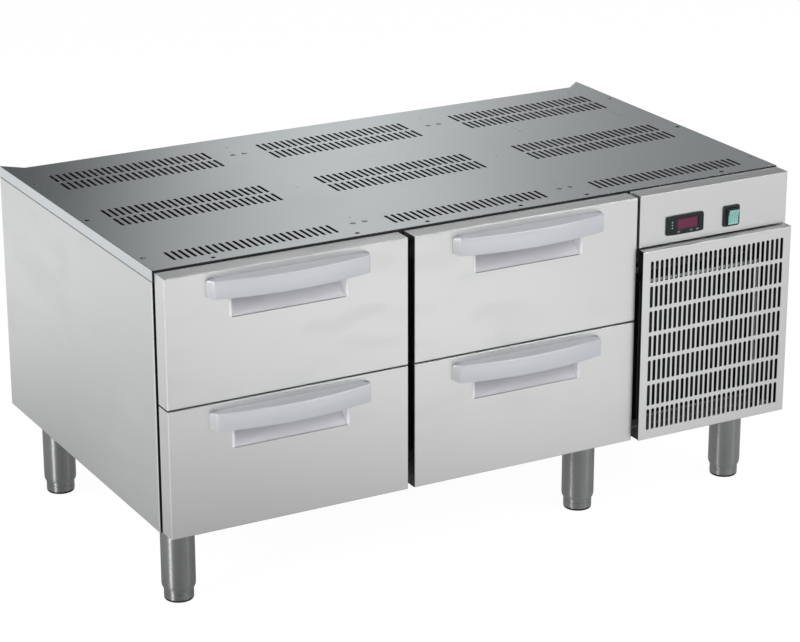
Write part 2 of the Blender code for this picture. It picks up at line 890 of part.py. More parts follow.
def make_drawers():
    handle_mesh = make_handle_mesh()
    box_mesh = make_box_mesh()
    member_meshes = (make_member_mesh(1), make_member_mesh(-1))
    behind = front_thickness + fit
    for column, column_name in enumerate(column_names):
        for row, row_name in enumerate(row_names):
            name = column_name + "_" + row_name
            middle_x = front_starts[column] + front_widths[column] / 2
            face = (middle_x, front - front_stand, front_bottoms[row])
            slab = make_drawer_front(name + "_drawer_front", face, front_widths[column])
            start_x = column_starts[column] - middle_x
            low_z = row_bottoms[row] - front_bottoms[row]
            low = (start_x - gasket_offset, low_z - gasket_offset)
            high = (start_x + opening_width + gasket_offset, low_z + open_height + gasket_offset)
            gasket = make_gasket(name + "_gasket", (0, 0, 0), low, high)
            handle = add_mesh(name + "_handle", handle_mesh, (0, 0, front_height))
            box_place = (start_x + opening_width / 2, behind, low_z)
            box = add_mesh(name + "_drawer_box", box_mesh, box_place)
            for piece in (gasket, handle, box):
                piece.parent = slab
            offset = slide_wall + fit
            middle = row_bottoms[row] + box_clear_below + slide_from_bottom
            for side, mesh in enumerate(member_meshes):
                side_name = column_names[side]
                near = column_starts[column] + offset
                far = column_starts[column] + opening_width - offset
                place = ((near, far)[side], front + slide_start, middle)
                add_mesh(name + "_slide_" + side_name, mesh, place)


def make_control_panel():
    outline = rectangle(0, 0, width - control_start, control_top - control_bottom)
    case = centred(
        controller_x - control_start, controller_z - control_bottom,
        case_width + fit * 2, case_height + fit * 2,
    )
    switch = centred(
        switch_x - control_start, switch_z - control_bottom,
        switch_body_width + fit * 2, switch_body_height + fit * 2,
    )
    fold = control_stand + panel_front - fit
    panel = pan(facing_front, outline, skin, fold, skin, [case, switch])
    # The top and side returns step back where they meet the rim of the top plate
    low = (-skin, control_stand - fit, under_plate - fit - control_bottom)
    high = (width, fold + skin, height - control_bottom)
    # A slot in the left return, for the hand that lifts the panel out
    slot = block(
        (-skin, finger_slot_start, finger_slot_low),
        (skin * 2, finger_slot_end, finger_slot_high),
    )
    mesh = united("control_panel", steel, [panel], [block(low, high), slot])
    place = (left + control_start, front - control_stand, control_bottom)
    add_mesh("control_panel", mesh, place)


def make_controller():
    # Origin at the middle of the face; the keys sit in pockets of the face
    bezel = rounded(0, 0, bezel_width, bezel_height, bezel_radius)
    body = rounded(0, 0, case_width, case_height, bezel_radius / 2)
    back_of_bezel = bezel_stand - fit
    edge = bezel_stand / 4
    chain = [(inset(bezel, edge), 0), (bezel, edge), (bezel, back_of_bezel), (body, back_of_bezel)]
    chain.append((body, case_depth))
    pockets = [(centred(display_x, display_z, display_width, display_height), display_recess)]
    for key in key_places:
        well = centred(key, key_row, key_width + fit * 2, key_height + fit * 2)
        pockets.append((well, key_depth + key_travel + fit))
    case = formed(facing_front, chain, pockets=pockets)
    place = Vector((left + controller_x, front - control_stand - bezel_stand, controller_z))
    add_object("controller_case", case, place, case_black)
    for index, key in enumerate(key_places):
        outline = centred(0, 0, key_width, key_height)
        chain = [(inset(outline, key_stand), -key_stand), (outline, 0), (outline, key_depth)]
        button = formed(facing_front, chain)
        add_object("controller_key_" + str(index + 1), button, place + Vector((key, 0, key_row)), key_grey)


def make_switch():
    outer = rounded(0, 0, switch_width, switch_height, bezel_radius)
    body = rounded(0, 0, switch_body_width, switch_body_height, bezel_radius / 2)
    well = rectangle(
        -rocker_width / 2 - fit, -rocker_height / 2 - rocker_swing,
        rocker_width / 2 + fit, rocker_height / 2 + rocker_swing,
    )
    edge = switch_stand / 3
    chain = [(inset(outer, edge), 0), (outer, edge), (outer, switch_stand - fit)]
    chain += [(body, switch_stand - fit), (body, switch_body_depth)]
    frame = formed(facing_front, chain, pockets=[(well, rocker_depth)])
    place = Vector((left + switch_x, front - control_stand - switch_stand, switch_z))
    add_object("switch_frame", frame, place, case_black)
    make_rocker(place + Vector((0, switch_stand, 0)))


def make_rocker(place):
    # Two faces that meet in a shallow valley, hinged on a cross axis level with the panel
    half = rocker_height / 2
    root = half - rocker_swing
    stand = -rocker_stand
    valley = stand + rocker_swing
    low = rocker_depth / 2 - rocker_swing
    profile = [(root, low), (half, 0), (half, stand), (0, valley), (-half, stand), (-half, 0), (-root, low)]
    tilt = math.radians(rocker_tilt_degrees)
    outline = [
        (y * math.cos(tilt) - z * math.sin(tilt), y * math.sin(tilt) + z * math.cos(tilt))
        for z, y in profile
    ]
    half_width = rocker_width / 2
    rocker = formed(facing_left, [(outline, -half_width), (outline, half_width)])
    add_object("power_rocker", rocker, place, rocker_green)


def make_grille_panel():
    outline = rectangle(0, 0, width - grille_start, grille_top - grille_bottom)
    holes = []
    for row in range(grille_rows):
        for column in range(grille_columns):
            u = grille_first_x - grille_start + column * grille_pitch
            v = grille_first_z - grille_bottom + row * grille_row_pitch
            holes.append(centred(u, v, grille_slot_width, grille_slot_length))
    fold = grille_stand + panel_front - fit
    panel = pan(facing_front, outline, skin, fold, skin, holes)
    # Its left side has no return, and lets warm air out beside the drawers
    open_side = block((-skin, skin, -skin), (skin, fold + skin, grille_top - grille_bottom + skin))
    mesh = united("grille_panel", steel, [panel], [open_side])
    add_mesh("grille_panel", mesh, (left + grille_start, front - grille_stand, grille_bottom))


def leg_places():
    return [(column, row) for row in leg_rows for column in leg_columns]


def make_feet():
    radius = foot_diameter / 2
    profile = [(radius - foot_chamfer, 0), (radius, foot_chamfer), (radius, foot_top)]
    mesh = mesh_of("foot", turned(facing_down, profile, foot_sides), polished)
    names = [row + "_" + column for row in ("front", "rear") for column in ("left", "middle", "right")]
    for name, (column, row) in zip(names, leg_places()):
        add_mesh("foot_" + name, mesh, (left + column, front + row, 0))


def make_fan(name, place, facing, radius, hub, depth):
    # A hub with blades that twist from root to tip and start inside its rim
    edge = blade_thickness
    bodies = [turned(facing, [(hub - edge, 0), (hub, edge), (hub, depth)])]
    along_u, along_v, inward = facing
    stations = (
        (hub * 3 / 4, hub / 2, math.pi / 5),
        (radius * 24 / 25, radius / 2, math.pi / 8),
    )
    for blade in range(fan_blades):
        turn = math.tau * blade / fan_blades
        radial = along_u * math.cos(turn) + along_v * math.sin(turn)
        around = along_v * math.cos(turn) - along_u * math.sin(turn)
        bm = bmesh.new()
        sections = []
        for distance, chord, pitch in stations:
            lean = around * math.cos(pitch) + inward * math.sin(pitch)
            across = inward * math.cos(pitch) - around * math.sin(pitch)
            middle = radial * distance + inward * (depth / 2)
            reach = min(chord / 2, (depth / 2 - edge) / math.sin(pitch))
            corners = ((-reach, -1), (reach, -1), (reach, 1), (-reach, 1))
            sections.append([
                bm.verts.new(middle + lean * run + across * (side * blade_thickness / 2))
                for run, side in corners
            ])
        for first, second in zip(sections, sections[1:]):
            bridge(bm, first, second)
        bm.faces.new(sections[0])
        bm.faces.new(sections[-1])
        bodies.append(bm)
    add_mesh(name, united(name, fan_plastic, bodies), place)


def comb(start, end, low, high, teeth, depth):
    # The plan of a finned block: a straight back and teeth along the front
    pitch = (end - start) / teeth
    points = [(end, high), (start, high)]
    for index in range(teeth):
        tooth = start + pitch * index
        points += [(tooth, low), (tooth + pitch * fin_share, low)]
        if index < teeth - 1:
            points += [(tooth + pitch * fin_share, low + depth), (tooth + pitch, low + depth)]
    points.append((end, low + depth))
    return points


def make_condenser():
    # A finned block in a frame of four plates, with the liquid line brazed on
    low_z = floor_top + skin + fit
    high_y = coil_front + coil_depth
    inner_start = coil_start + coil_plate / 2
    inner_end = coil_end - coil_plate / 2
    outline = comb(inner_start, inner_end, coil_front + coil_plate, high_y, coil_fins, fin_depth)
    bodies = [formed(facing_down, [(outline, coil_bottom), (outline, coil_top - coil_plate / 2)])]
    end_plates = ((coil_start, coil_start + coil_plate), (coil_end - coil_plate, coil_end))
    for low_x, high_x in end_plates:
        bodies.append(block((low_x, coil_front, low_z), (high_x, high_y, coil_top)))
    for low, high in ((coil_top - coil_plate, coil_top), (coil_bottom - coil_plate / 2, coil_bottom + coil_plate / 2)):
        bodies.append(block((inner_start, coil_front, low), (inner_end, high_y, high)))
    bodies.append(liquid_line())
    mesh = united("condenser_coil", fins_metal, bodies)
    add_mesh("condenser_coil", mesh, (left, front, 0))
    make_fan_unit(high_y + fit + shroud_depth)


def make_fan_unit(face):
    # The shroud, the fan in its mouth, and the motor on its bracket behind
    middle_x = (coil_start + coil_end) / 2
    middle_z = (coil_bottom + coil_top) / 2
    outline = rectangle(coil_start - middle_x, coil_bottom - middle_z, coil_end - middle_x, coil_top - middle_z)
    mouth = circle(0, 0, fan_radius + fan_tip_gap, 20)
    shroud = pan(facing_back, outline, skin, shroud_depth, skin, [mouth])
    add_object("fan_shroud", shroud, (left + middle_x, front + face, middle_z), zinc)

    hub_start = face - fan_width / 2
    place = (left + middle_x, front + hub_start, middle_z)
    make_fan("condenser_fan", place, facing_front, fan_radius, fan_hub_radius, fan_width)

    motor_start = hub_start + fan_width + fit
    motor_end = motor_start + motor_length
    profile = [
        (motor_radius * 2 / 3, motor_start), (motor_radius, motor_start + motor_length / 5),
        (motor_radius, motor_end - motor_length / 5), (motor_radius * 4 / 5, motor_end),
    ]
    arm = fan_radius + fan_tip_gap + bracket_thickness * 2
    near = face + fit
    far = motor_end + bracket_thickness / 2
    foot = arm + bracket_width / 2
    bracket = [
        (-foot, near), (-arm + bracket_thickness, near), (-arm + bracket_thickness, far - bracket_thickness),
        (arm - bracket_thickness, far - bracket_thickness), (arm - bracket_thickness, near), (foot, near),
        (foot, near + bracket_thickness), (arm, near + bracket_thickness), (arm, far), (-arm, far),
        (-arm, near + bracket_thickness), (-foot, near + bracket_thickness),
    ]
    half = bracket_width / 2
    bodies = [turned(facing_front, profile), formed(facing_down, [(bracket, -half), (bracket, half)])]
    add_mesh("fan_motor", united("fan_motor", enamel, bodies), (left + middle_x, front, middle_z))


def make_unit_tray():
    outline = rectangle(0, 0, tray_end - tray_start, tray_length)
    tray = pan(facing_down, outline, skin, tray_rim, skin)
    add_object("unit_tray", tray, (left + tray_start, front + tray_front, floor_top), zinc)


def make_compressor():
    # A welded shell on a foot plate with rubber grommets, its terminal box and its two lines
    radius = compressor_radius
    tall = compressor_height
    dome = tall * dome_share
    profile = [
        (radius * 3 / 5, 0), (radius * 9 / 10, dome / 2), (radius, dome), (radius, tall * 2 / 3),
        (radius * 19 / 20, tall - dome), (radius * 4 / 5, tall - dome / 3), (radius * 2 / 5, tall),
    ]
    centre_z = floor_top + skin + fit
    lift = compressor_stand + coil_plate / 2
    at = Vector((compressor_x, compressor_y, centre_z))
    bodies = [turned(facing_down, profile, shell_sides, at=at + Vector((0, 0, lift)))]
    spread = mount_spread
    reach = spread + mount_radius * 5 / 4
    plate = rectangle(-reach, -reach, reach, reach)
    chain = [(plate, compressor_stand), (plate, compressor_stand + coil_plate)]
    bodies.append(formed(facing_down, chain, at=at))
    grommet = [
        (mount_radius, 0), (mount_radius * 3 / 4, compressor_stand / 2),
        (mount_radius, compressor_stand + coil_plate / 2),
    ]
    for side_x in (-spread, spread):
        for side_y in (-spread, spread):
            centre = at + Vector((side_x, side_y, 0))
            bodies.append(turned(facing_down, grommet, mount_sides, at=centre))
    inner = radius * 9 / 10
    half = terminal_width / 2
    low_z = centre_z + lift + tall / 3
    low = (compressor_x - half, compressor_y - inner - terminal_depth, low_z)
    high = (compressor_x + half, compressor_y - inner, low_z + terminal_height)
    bodies.append(block(low, high))
    bodies += compressor_lines(centre_z + lift + tall)
    add_mesh("compressor", united("compressor", enamel, bodies), (left, front, 0))


def make_evaporator():
    outer_x = side_insulation + fit
    outline = rectangle(
        evaporator_front, evaporator_bottom, evaporator_front + evaporator_length, evaporator_top
    )
    far = outer_x + evaporator_width
    housing = pan(facing_right, outline, evaporator_wall, evaporator_width, evaporator_wall, at=(far, 0, 0))
    add_object("evaporator_housing", housing, (open_right, front, 0), foam_skin)

    # The finned coil, and the fan's motor that stands on it
    duct_y, duct_z = duct_place()
    inset_wall = evaporator_wall + fit
    low = (outer_x + evaporator_coil_setback, evaporator_front + inset_wall)
    high = (low[0] + evaporator_coil_depth, evaporator_front + evaporator_length - inset_wall)
    comb_outline = comb(low[1], high[1], low[0], high[0], evaporator_fins, fin_depth)
    plan = [(x, y) for y, x in comb_outline]
    bottom = evaporator_bottom + inset_wall
    top = evaporator_top - inset_wall
    fan_back = small_fan_setback + small_fan_width
    profile = [
        (small_motor_radius * 3 / 4, fan_back + fit), (small_motor_radius, fan_back + small_fan_width / 2),
        (small_motor_radius, low[0] + fin_depth * 2),
    ]
    bodies = [formed(facing_down, [(plan, bottom), (plan, top)])]
    bodies.append(turned(facing_left, profile, at=(0, duct_y, duct_z)))
    mesh = united("evaporator_core", fins_metal, bodies)
    add_mesh("evaporator_core", mesh, (open_right, front, 0))
    place = (open_right + small_fan_setback, front + duct_y, duct_z)
    make_fan("evaporator_fan", place, facing_left, small_fan_radius, small_fan_hub, small_fan_width)


def pipe_run(corners, bend):
    # Points of a pipe: straight runs with each corner rounded by an arc of the bend radius
    points = [Vector(corners[0])]
    for before, here, after in zip(corners, corners[1:], corners[2:]):
        here = Vector(here)
        into = (Vector(before) - here).normalized()
        out = (Vector(after) - here).normalized()
        start = here + into * bend
        end = here + out * bend
        for step in range(bend_steps + 1):
            share = step / bend_steps
            points.append(start * (1 - share) ** 2 + here * (2 * share * (1 - share)) + end * share ** 2)
    points.append(Vector(corners[-1]))
    return points


def case_entry():
    # Where the lines enter the front of the evaporator's housing: depth, and a first height
    return evaporator_front - fit, evaporator_bottom + (evaporator_top - evaporator_bottom) / 3


def coil_line_z():
    return coil_top - coil_plate / 2


def compressor_lines(top_z):
    # Discharge line to the condenser and suction line from the evaporator
    case_y, case_z = case_entry()
    bend = pipe_radius * bend_share
    near = compressor_radius / 5
    start_z = top_z - coil_plate
    line_y = compressor_y - near
    high = coil_top + bend * 2
    coil_x = coil_end - bend
    coil_y = coil_front + coil_depth / 2
    discharge = [
        (compressor_x + near, line_y, start_z), (compressor_x + near, line_y, high),
        (coil_x, line_y, high), (coil_x, coil_y, high), (coil_x, coil_y, coil_top + fit),
    ]
    case_x = open_right - left + side_insulation + evaporator_width / 2
    suction = [
        (compressor_x - near, line_y, start_z), (compressor_x - near, line_y, case_z),
        (case_x, line_y, case_z), (case_x, case_y, case_z),
    ]
    return [sweep(pipe_run(corners, bend), pipe_radius) for corners in (discharge, suction)]


def liquid_line():
    case_y, case_z = case_entry()
    bend = pipe_radius * bend_share
    lower = case_z + bend * 2
    line_x = coil_start + bend
    coil_y = coil_front + coil_depth / 2
    corners = [(line_x, coil_y, coil_line_z()), (line_x, coil_y, lower), (line_x, case_y, lower)]
    return sweep(pipe_run(corners, bend), pipe_radius)



def sweep(points, radius, sides=5):
    # A tube along a path, its rings turned no more than the path itself turns
    bm = bmesh.new()
    rings = []
    across = None
    for index, point in enumerate(points):
        before = points[max(index - 1, 0)]
        after = points[min(index + 1, len(points) - 1)]
        ahead = (after - before).normalized()
        if across is None:
            across = ahead.orthogonal().normalized()
        across = (across - ahead * across.dot(ahead)).normalized()
        side = ahead.cross(across)
        turn = math.tau / sides
        rings.append([
            bm.verts.new(point + across * (radius * math.cos(turn * k)) + side * (radius * math.sin(turn * k)))
            for k in range(sides)
        ])
    for first, second in zip(rings, rings[1:]):
        bridge(bm, first, second)
    bm.faces.new(rings[0])
    bm.faces.new(rings[-1])
    return bm


clear_scene()
make_top_plate()
make_side_panels()
make_bottom_and_legs()
make_rear_panel()
make_cable_gland()
make_cold_box()
make_front_frame()
make_centre_partition()
make_drawers()
make_control_panel()
make_controller()
make_switch()
make_grille_panel()
make_feet()
make_unit_tray()
make_condenser()
make_compressor()
make_evaporator()
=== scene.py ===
# Studio picture of a refrigerated chef base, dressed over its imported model. Metres, +Z up,
# the drawers face -Y. Every piece keeps its object at the origin, with its place in its mesh.

import math
from functools import partial

import bmesh
import bpy
import numpy as np
from mathutils import Matrix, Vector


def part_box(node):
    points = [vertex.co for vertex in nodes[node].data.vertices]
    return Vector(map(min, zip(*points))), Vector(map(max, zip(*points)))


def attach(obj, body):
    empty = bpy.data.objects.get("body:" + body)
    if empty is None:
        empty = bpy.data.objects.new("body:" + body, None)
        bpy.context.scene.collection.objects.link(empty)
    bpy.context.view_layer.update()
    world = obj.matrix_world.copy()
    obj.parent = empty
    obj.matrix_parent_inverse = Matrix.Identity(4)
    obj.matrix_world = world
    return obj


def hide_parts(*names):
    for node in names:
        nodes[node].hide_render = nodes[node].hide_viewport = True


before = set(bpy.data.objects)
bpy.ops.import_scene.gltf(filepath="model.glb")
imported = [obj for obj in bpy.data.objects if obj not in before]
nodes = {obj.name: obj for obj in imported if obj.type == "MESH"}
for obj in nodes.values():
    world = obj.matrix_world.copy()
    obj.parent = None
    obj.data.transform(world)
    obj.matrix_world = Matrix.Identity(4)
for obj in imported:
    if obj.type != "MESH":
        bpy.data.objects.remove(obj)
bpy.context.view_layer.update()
print("stage: frame loaded,", len(nodes), "nodes")


studio = {
    "cameraPlace": (-2.21370, -4.04238, 1.97258),
    "cameraTurn": -28.755,  # degrees to the left of straight ahead
    "cameraDown": 19.730,
    "cameraRoll": -0.088,
    "cameraFocal": 2740.0 * 36.0 / 800.0,  # in pixels, times the sensor's width over the picture's
    "cameraSensor": 36.0,
    "cameraClip": (0.1, 200.0),
    "floorHalf": 30.0,
    "floorColour": (0.86, 0.86, 0.86),
    "floorGlow": 0.90,  # share of plain white that the camera sees in the floor
    "floorSheen": 0.76,  # the same share as it shows in metal
    "floorWhite": 1.06,
    "farWhite": 1.0,
    "roomLevel": 0.42,  # soft light of the room
    "mirrorLow": 0.62,  # the room as metal shows it, at the horizon and at mirrorTop
    "mirrorHigh": 0.40,
    "mirrorTop": 0.9,
    # How bright the wall behind is, by its direction in degrees from +X towards +Y
    "backWall": ((40, 1.0), (50, 0.56), (54, 0.58), (56, 0.64), (57.5, 0.80), (59, 1.16), (60.5, 1.60),
                 (62, 1.92), (64, 1.86), (65.3, 1.50), (66.6, 0.86), (68, 0.22), (69.5, 0.07), (82, 0.07),
                 (95, 1.0)),
    "backWallFade": (0.50, 0.80),  # heights between which it turns to backWallAbove
    "backWallAbove": 0.7,
    "frontScreen": ((-0.48, -0.877, 0.0), 0.70, 0.96, 0.72),  # direction, outer and inner cosine, darkness
    "baseHalf": (0.60, 0.33),
    "floorShadowNear": 0.47,  # painted shadow: the floor in metal this dark close to the base, growing to full over floorReach
    "floorReach": 1.1,
    "floorAcross": ((-2.20, 0.78), (-1.35, 0.96), (-0.80, 0.96), (-0.62, 0.78), (-0.35, 0.80), (0.25, 1.06),
                    (0.70, 1.06), (1.25, 0.68)),  # painted light and shade of the floor in metal, along x
    "floorFront": 0.08,  # painted shade: how much darker the floor is in metal towards the front screen
    "floorFrontFrom": 0.3,  # cosine from which it darkens
}
lamps = {  # place, target, size, power in watts, and whether metal shows it
    "frontSoftbox": ((0.9, -4.4, 3.2), (0.0, 0.0, 0.3), (3.2, 2.4), 88, False),
    "leftSoftbox": ((-3.6, 0.6, 2.4), (0.0, 0.0, 0.3), (2.6, 2.0), 40, False),
    "leftStrip": ((-3.05, -0.95, 1.0), (0.0, -0.2, 0.2), (0.30, 1.8), 34, True),
    "rightStrip": ((2.9, -3.9, 0.30), (0.0, -0.2, 0.2), (0.80, 0.50), 5, True),
    "edgeStrip": ((1.3, -1.7, 2.7), (0.0, -0.3, 0.5), (2.2, 0.45), 17, True),
    "rightSoftbox": ((3.4, -1.4, 2.6), (0.0, 0.0, 0.3), (2.4, 2.0), 30, False),
}


def addToScene(name, data):
    # An object at the origin around some data
    item = bpy.data.objects.new(name, data)
    bpy.context.scene.collection.objects.link(item)
    return item


def addCamera(values):
    # A level camera turned about +Z, then tipped down and rolled
    camera = addToScene("camera", bpy.data.cameras.new("camera"))
    turn, down, roll = (math.radians(values[key]) for key in ("cameraTurn", "cameraDown", "cameraRoll"))
    level = Matrix.Rotation(turn, 4, "Z") @ Matrix.Rotation(math.pi / 2 - down, 4, "X")
    camera.matrix_world = Matrix.Translation(values["cameraPlace"]) @ level @ Matrix.Rotation(roll, 4, "Z")
    camera.data.lens = values["cameraFocal"]
    camera.data.sensor_width = values["cameraSensor"]
    camera.data.clip_start, camera.data.clip_end = values["cameraClip"]
    bpy.context.scene.camera = camera


def addLamp(name, place, target, size, power, inMetal):
    # A rectangle that shines along its own -Z, from its place to its target
    lamp = bpy.data.lights.new(name, "AREA")
    lamp.shape = "RECTANGLE"
    lamp.size, lamp.size_y = size
    lamp.energy = power
    item = addToScene(name, lamp)
    ahead = np.array(target) - np.array(place)
    ahead = ahead / np.linalg.norm(ahead)
    across = np.cross(ahead, (0.0, 0.0, 1.0))
    across = across / np.linalg.norm(across)
    turn = np.stack([across, np.cross(across, ahead), -ahead], 1)
    item.matrix_world = Matrix.Translation(place) @ Matrix(turn.tolist()).to_4x4()
    item.visible_camera = False
    item.visible_glossy = inMetal


def feed(socket, value):
    # Links a socket to another one, or gives it a value of its own
    if isinstance(value, bpy.types.NodeSocket):
        socket.id_data.links.new(value, socket)
    else:
        socket.default_value = value


def addNode(tree, kind, sockets=(), **settings):
    # A node with its settings, its sockets fed by name or number, in columns of ten
    node = tree.nodes.new(kind)
    column, row = divmod(len(tree.nodes), 10)
    node.location = (column * 220, -row * 200)
    for key, value in settings.items():
        setattr(node, key, value)
    for label in sockets:
        feed(node.inputs[label], sockets[label])
    return node


def treeOf(first, second):
    # The tree of whichever side is a socket
    return (first if isinstance(first, bpy.types.NodeSocket) else second).id_data


def calculate(operation, first, second=0.0):
    # One Math node; either side may be a socket or a number
    return addNode(treeOf(first, second), "ShaderNodeMath", {0: first, 1: second}, operation=operation).outputs[0]


times, plus, minus, larger, above, below, apart = (partial(calculate, operation) for operation in (
    "MULTIPLY", "ADD", "SUBTRACT", "MAXIMUM", "GREATER_THAN", "LESS_THAN", "ABSOLUTE"))


def addMix(kind, share, first, second):
    # FLOAT or RGBA: from the first to the second as the share goes from 0 to 1
    sockets = {"Factor": share, "A": first, "B": second}
    return addNode(share.id_data, "ShaderNodeMix", sockets, data_type=kind).outputs["Result"]


def addRange(value, low, high, newLow, newHigh):
    # From newLow to newHigh, evenly, as the value goes from low to high, and level beyond
    sockets = {"Value": value, "From Min": low, "From Max": high, "To Min": newLow, "To Max": newHigh}
    return addNode(value.id_data, "ShaderNodeMapRange", sockets).outputs["Result"]


def addRamp(value, steps):
    # The brightness at a value, straight between the (value, brightness) steps
    first, last, top = steps[0][0], steps[-1][0], max(level for _, level in steps)
    ramp = addNode(value.id_data, "ShaderNodeValToRGB", {0: addRange(value, first, last, 0.0, 1.0)})
    while len(ramp.color_ramp.elements) < len(steps):
        ramp.color_ramp.elements.new(0.5)
    for element, (spot, level) in zip(ramp.color_ramp.elements, steps):
        element.position = (spot - first) / (last - first)
        element.color = (level / top, level / top, level / top, 1.0)
    return times(ramp.outputs["Color"], top)


def addSplit(vector):
    # The x, y and z of a vector
    return addNode(vector.id_data, "ShaderNodeSeparateXYZ", {0: vector}).outputs


def addVector(operation, first, second=(0.0, 0.0, 0.0)):
    # One Vector Math node: MULTIPLY part by part, SCALE by one number, DOT_PRODUCT for the cosine
    # between unit vectors, or NORMALIZE
    sockets = {0: first, "Scale" if operation == "SCALE" else 1: second}
    made = addNode(treeOf(first, second), "ShaderNodeVectorMath", sockets, operation=operation)
    return made.outputs["Value" if operation == "DOT_PRODUCT" else 0]


def emptyTree(owner):
    # The emptied node tree of a world or material, its Light Path's outputs, and what is 1 for rays
    # that metal or glass sends on
    owner.use_nodes = True
    owner.node_tree.nodes.clear()
    path = addNode(owner.node_tree, "ShaderNodeLightPath").outputs
    return owner.node_tree, path, larger(path["Is Glossy Ray"], path["Is Transmission Ray"])


def addShaderMix(tree, share, first, second, end):
    # Blends two shader nodes by a share, into the tree's output
    mix = addNode(tree, "ShaderNodeMixShader", {0: share, 1: first.outputs[0], 2: second.outputs[0]})
    addNode(tree, end, {"Surface": mix.outputs[0]})


def addWorld(values):
    # The camera sees plain white and surfaces are lit by an even room. Metal shows the room's walls
    # times a screen times the wall behind: paler near the horizon, dark at the front left, and
    # behind by direction, the angle whose tangent is y over x
    world = bpy.data.worlds.new("studioRoom")
    tree, path, clear = emptyTree(world)
    direction = addNode(tree, "ShaderNodeTexCoord").outputs["Generated"]
    x, y, z = addSplit(direction)
    walls = addRange(z, 0.0, values["mirrorTop"], values["mirrorLow"], values["mirrorHigh"])
    toward, outer, inner, dark = values["frontScreen"]
    cosine = addVector("DOT_PRODUCT", direction, np.array(toward) / np.linalg.norm(toward))
    screen = addRange(cosine, outer, inner, 1.0, 1.0 - dark)
    behind = addRamp(calculate("DEGREES", calculate("ARCTAN2", y, x)), values["backWall"])
    height = addRange(z, *values["backWallFade"], 0.0, 1.0)
    behind = addMix("FLOAT", height, behind, values["backWallAbove"])
    level = addMix("FLOAT", clear, values["roomLevel"], times(times(walls, screen), behind))
    room = addNode(tree, "ShaderNodeBackground", {"Strength": level})
    white = addNode(tree, "ShaderNodeBackground", {"Color": (1.0, 1.0, 1.0, 1.0), "Strength": values["farWhite"]})
    addShaderMix(tree, path["Is Camera Ray"], room, white, "ShaderNodeOutputWorld")
    bpy.context.scene.world = world


def addFloor(values):
    # A pale sheet of paper: its own colour under the lamps, with white added for the camera. In metal its
    # tone is painted: a painted shadow near the base that lightens with the distance from it, times painted
    # shade towards the front screen, times painted light and shade along x
    mesh = bpy.data.meshes.new("studioFloor")
    half = values["floorHalf"]
    corners = [(-half, -half, 0), (half, -half, 0), (half, half, 0), (-half, half, 0)]
    mesh.from_pydata(corners, [], [(0, 1, 2, 3)])
    floor = addToScene("studioFloor", mesh)
    paper = bpy.data.materials.new("studioPaper")
    tree, path, clear = emptyTree(paper)
    place = addNode(tree, "ShaderNodeTexCoord").outputs["Object"]
    x, y, _ = addSplit(place)
    beyondX, beyondY = (minus(apart(part), size) for part, size in zip((x, y), values["baseHalf"]))
    # Painted shadow of the base on the floor, for metal only: darker close to it
    near = addRange(larger(beyondX, beyondY), 0.0, values["floorReach"], values["floorShadowNear"], 1.0)
    cosine = addVector("DOT_PRODUCT", addVector("NORMALIZE", place), values["frontScreen"][0])
    screened = addRange(cosine, values["floorFrontFrom"], 1.0, 1.0, 1.0 - values["floorFront"])
    tone = times(near, times(screened, addRamp(x, values["floorAcross"])))
    shown = addMix("FLOAT", path["Is Glossy Ray"], 1.0, tone)
    matt = addNode(tree, "ShaderNodeBsdfDiffuse", {"Color": addVector("SCALE", values["floorColour"], shown)})
    glow = addNode(tree, "ShaderNodeEmission", {"Strength": times(shown, values["floorWhite"])})
    seen = times(path["Is Camera Ray"], values["floorGlow"])
    addShaderMix(tree, plus(seen, times(clear, values["floorSheen"])), matt, glow, "ShaderNodeOutputMaterial")
    mesh.materials.append(paper)


addCamera(studio)
addWorld(studio)
addFloor(studio)
for lampName, lampValues in lamps.items():
    addLamp(lampName, *lampValues)
bpy.context.scene.view_settings.view_transform = "Standard"
print("stage: studio ready")


# Finishes: node groups for drawn sheet, moulded plastic, worn edges with painted highlight and shade, a cut outline
# with painted shade and highlight, and painted shade on sides

sheetLook = {
    "lines": (1.0, 5.0, 0.7),  # scale, detail and roughness of each noise
    "clouds": (2.3, 3.0, 0.5),
    "wipes": (1.0, 2.0, 0.45),
    "wipeStretch": (9.0, 26.0, 26.0),
    "wipeRange": (0.52, 0.68),
    "lineRoughness": 2.0,
    "cloudRoughness": 0.10,
}
mouldLook = {"clouds": (14.0, 3.0, 0.55), "grain": (3.0, 0.5), "grainRoughness": 0.16, "cloudRoughness": 0.12}
edgeWearAndSheenLook = {"edge": (0.52, 0.60), "hollow": (0.49, 0.42), "dirt": (0.03, 0.03, 0.03, 1.0)}  # pointiness; lighter edges are wear and painted highlight, darker hollows dirt and painted shade
cutOut = {
    "middle": (0.4285, 0.2023), "half": (0.1095, 0.0980), "width": 0.00045, "pitch": 0.026, "gap": 0.11,
    "dark": (0.75, (0.03, 0.03, 0.035, 1.0)), "light": (0.6, (1.0, 1.0, 1.0, 1.0)),  # share and colour of the painted shade line and of the painted highlight line
}
# Where the painted black shade falls on sides, slot walls and seams, and its colour
shadow = {
    "halfWidth": 0.592,  # between the side panels
    "tone": 0.004, "toneBlue": 1.05,
    "turned": 0.6,  # part of the normal from which a face counts as turned that way
    "plateFront": -0.290, "rimFront": -0.2942, "rimTop": 0.5997,
    "returnHalf": 0.5984,
    "inward": -0.3,  # x times the normal's x
}


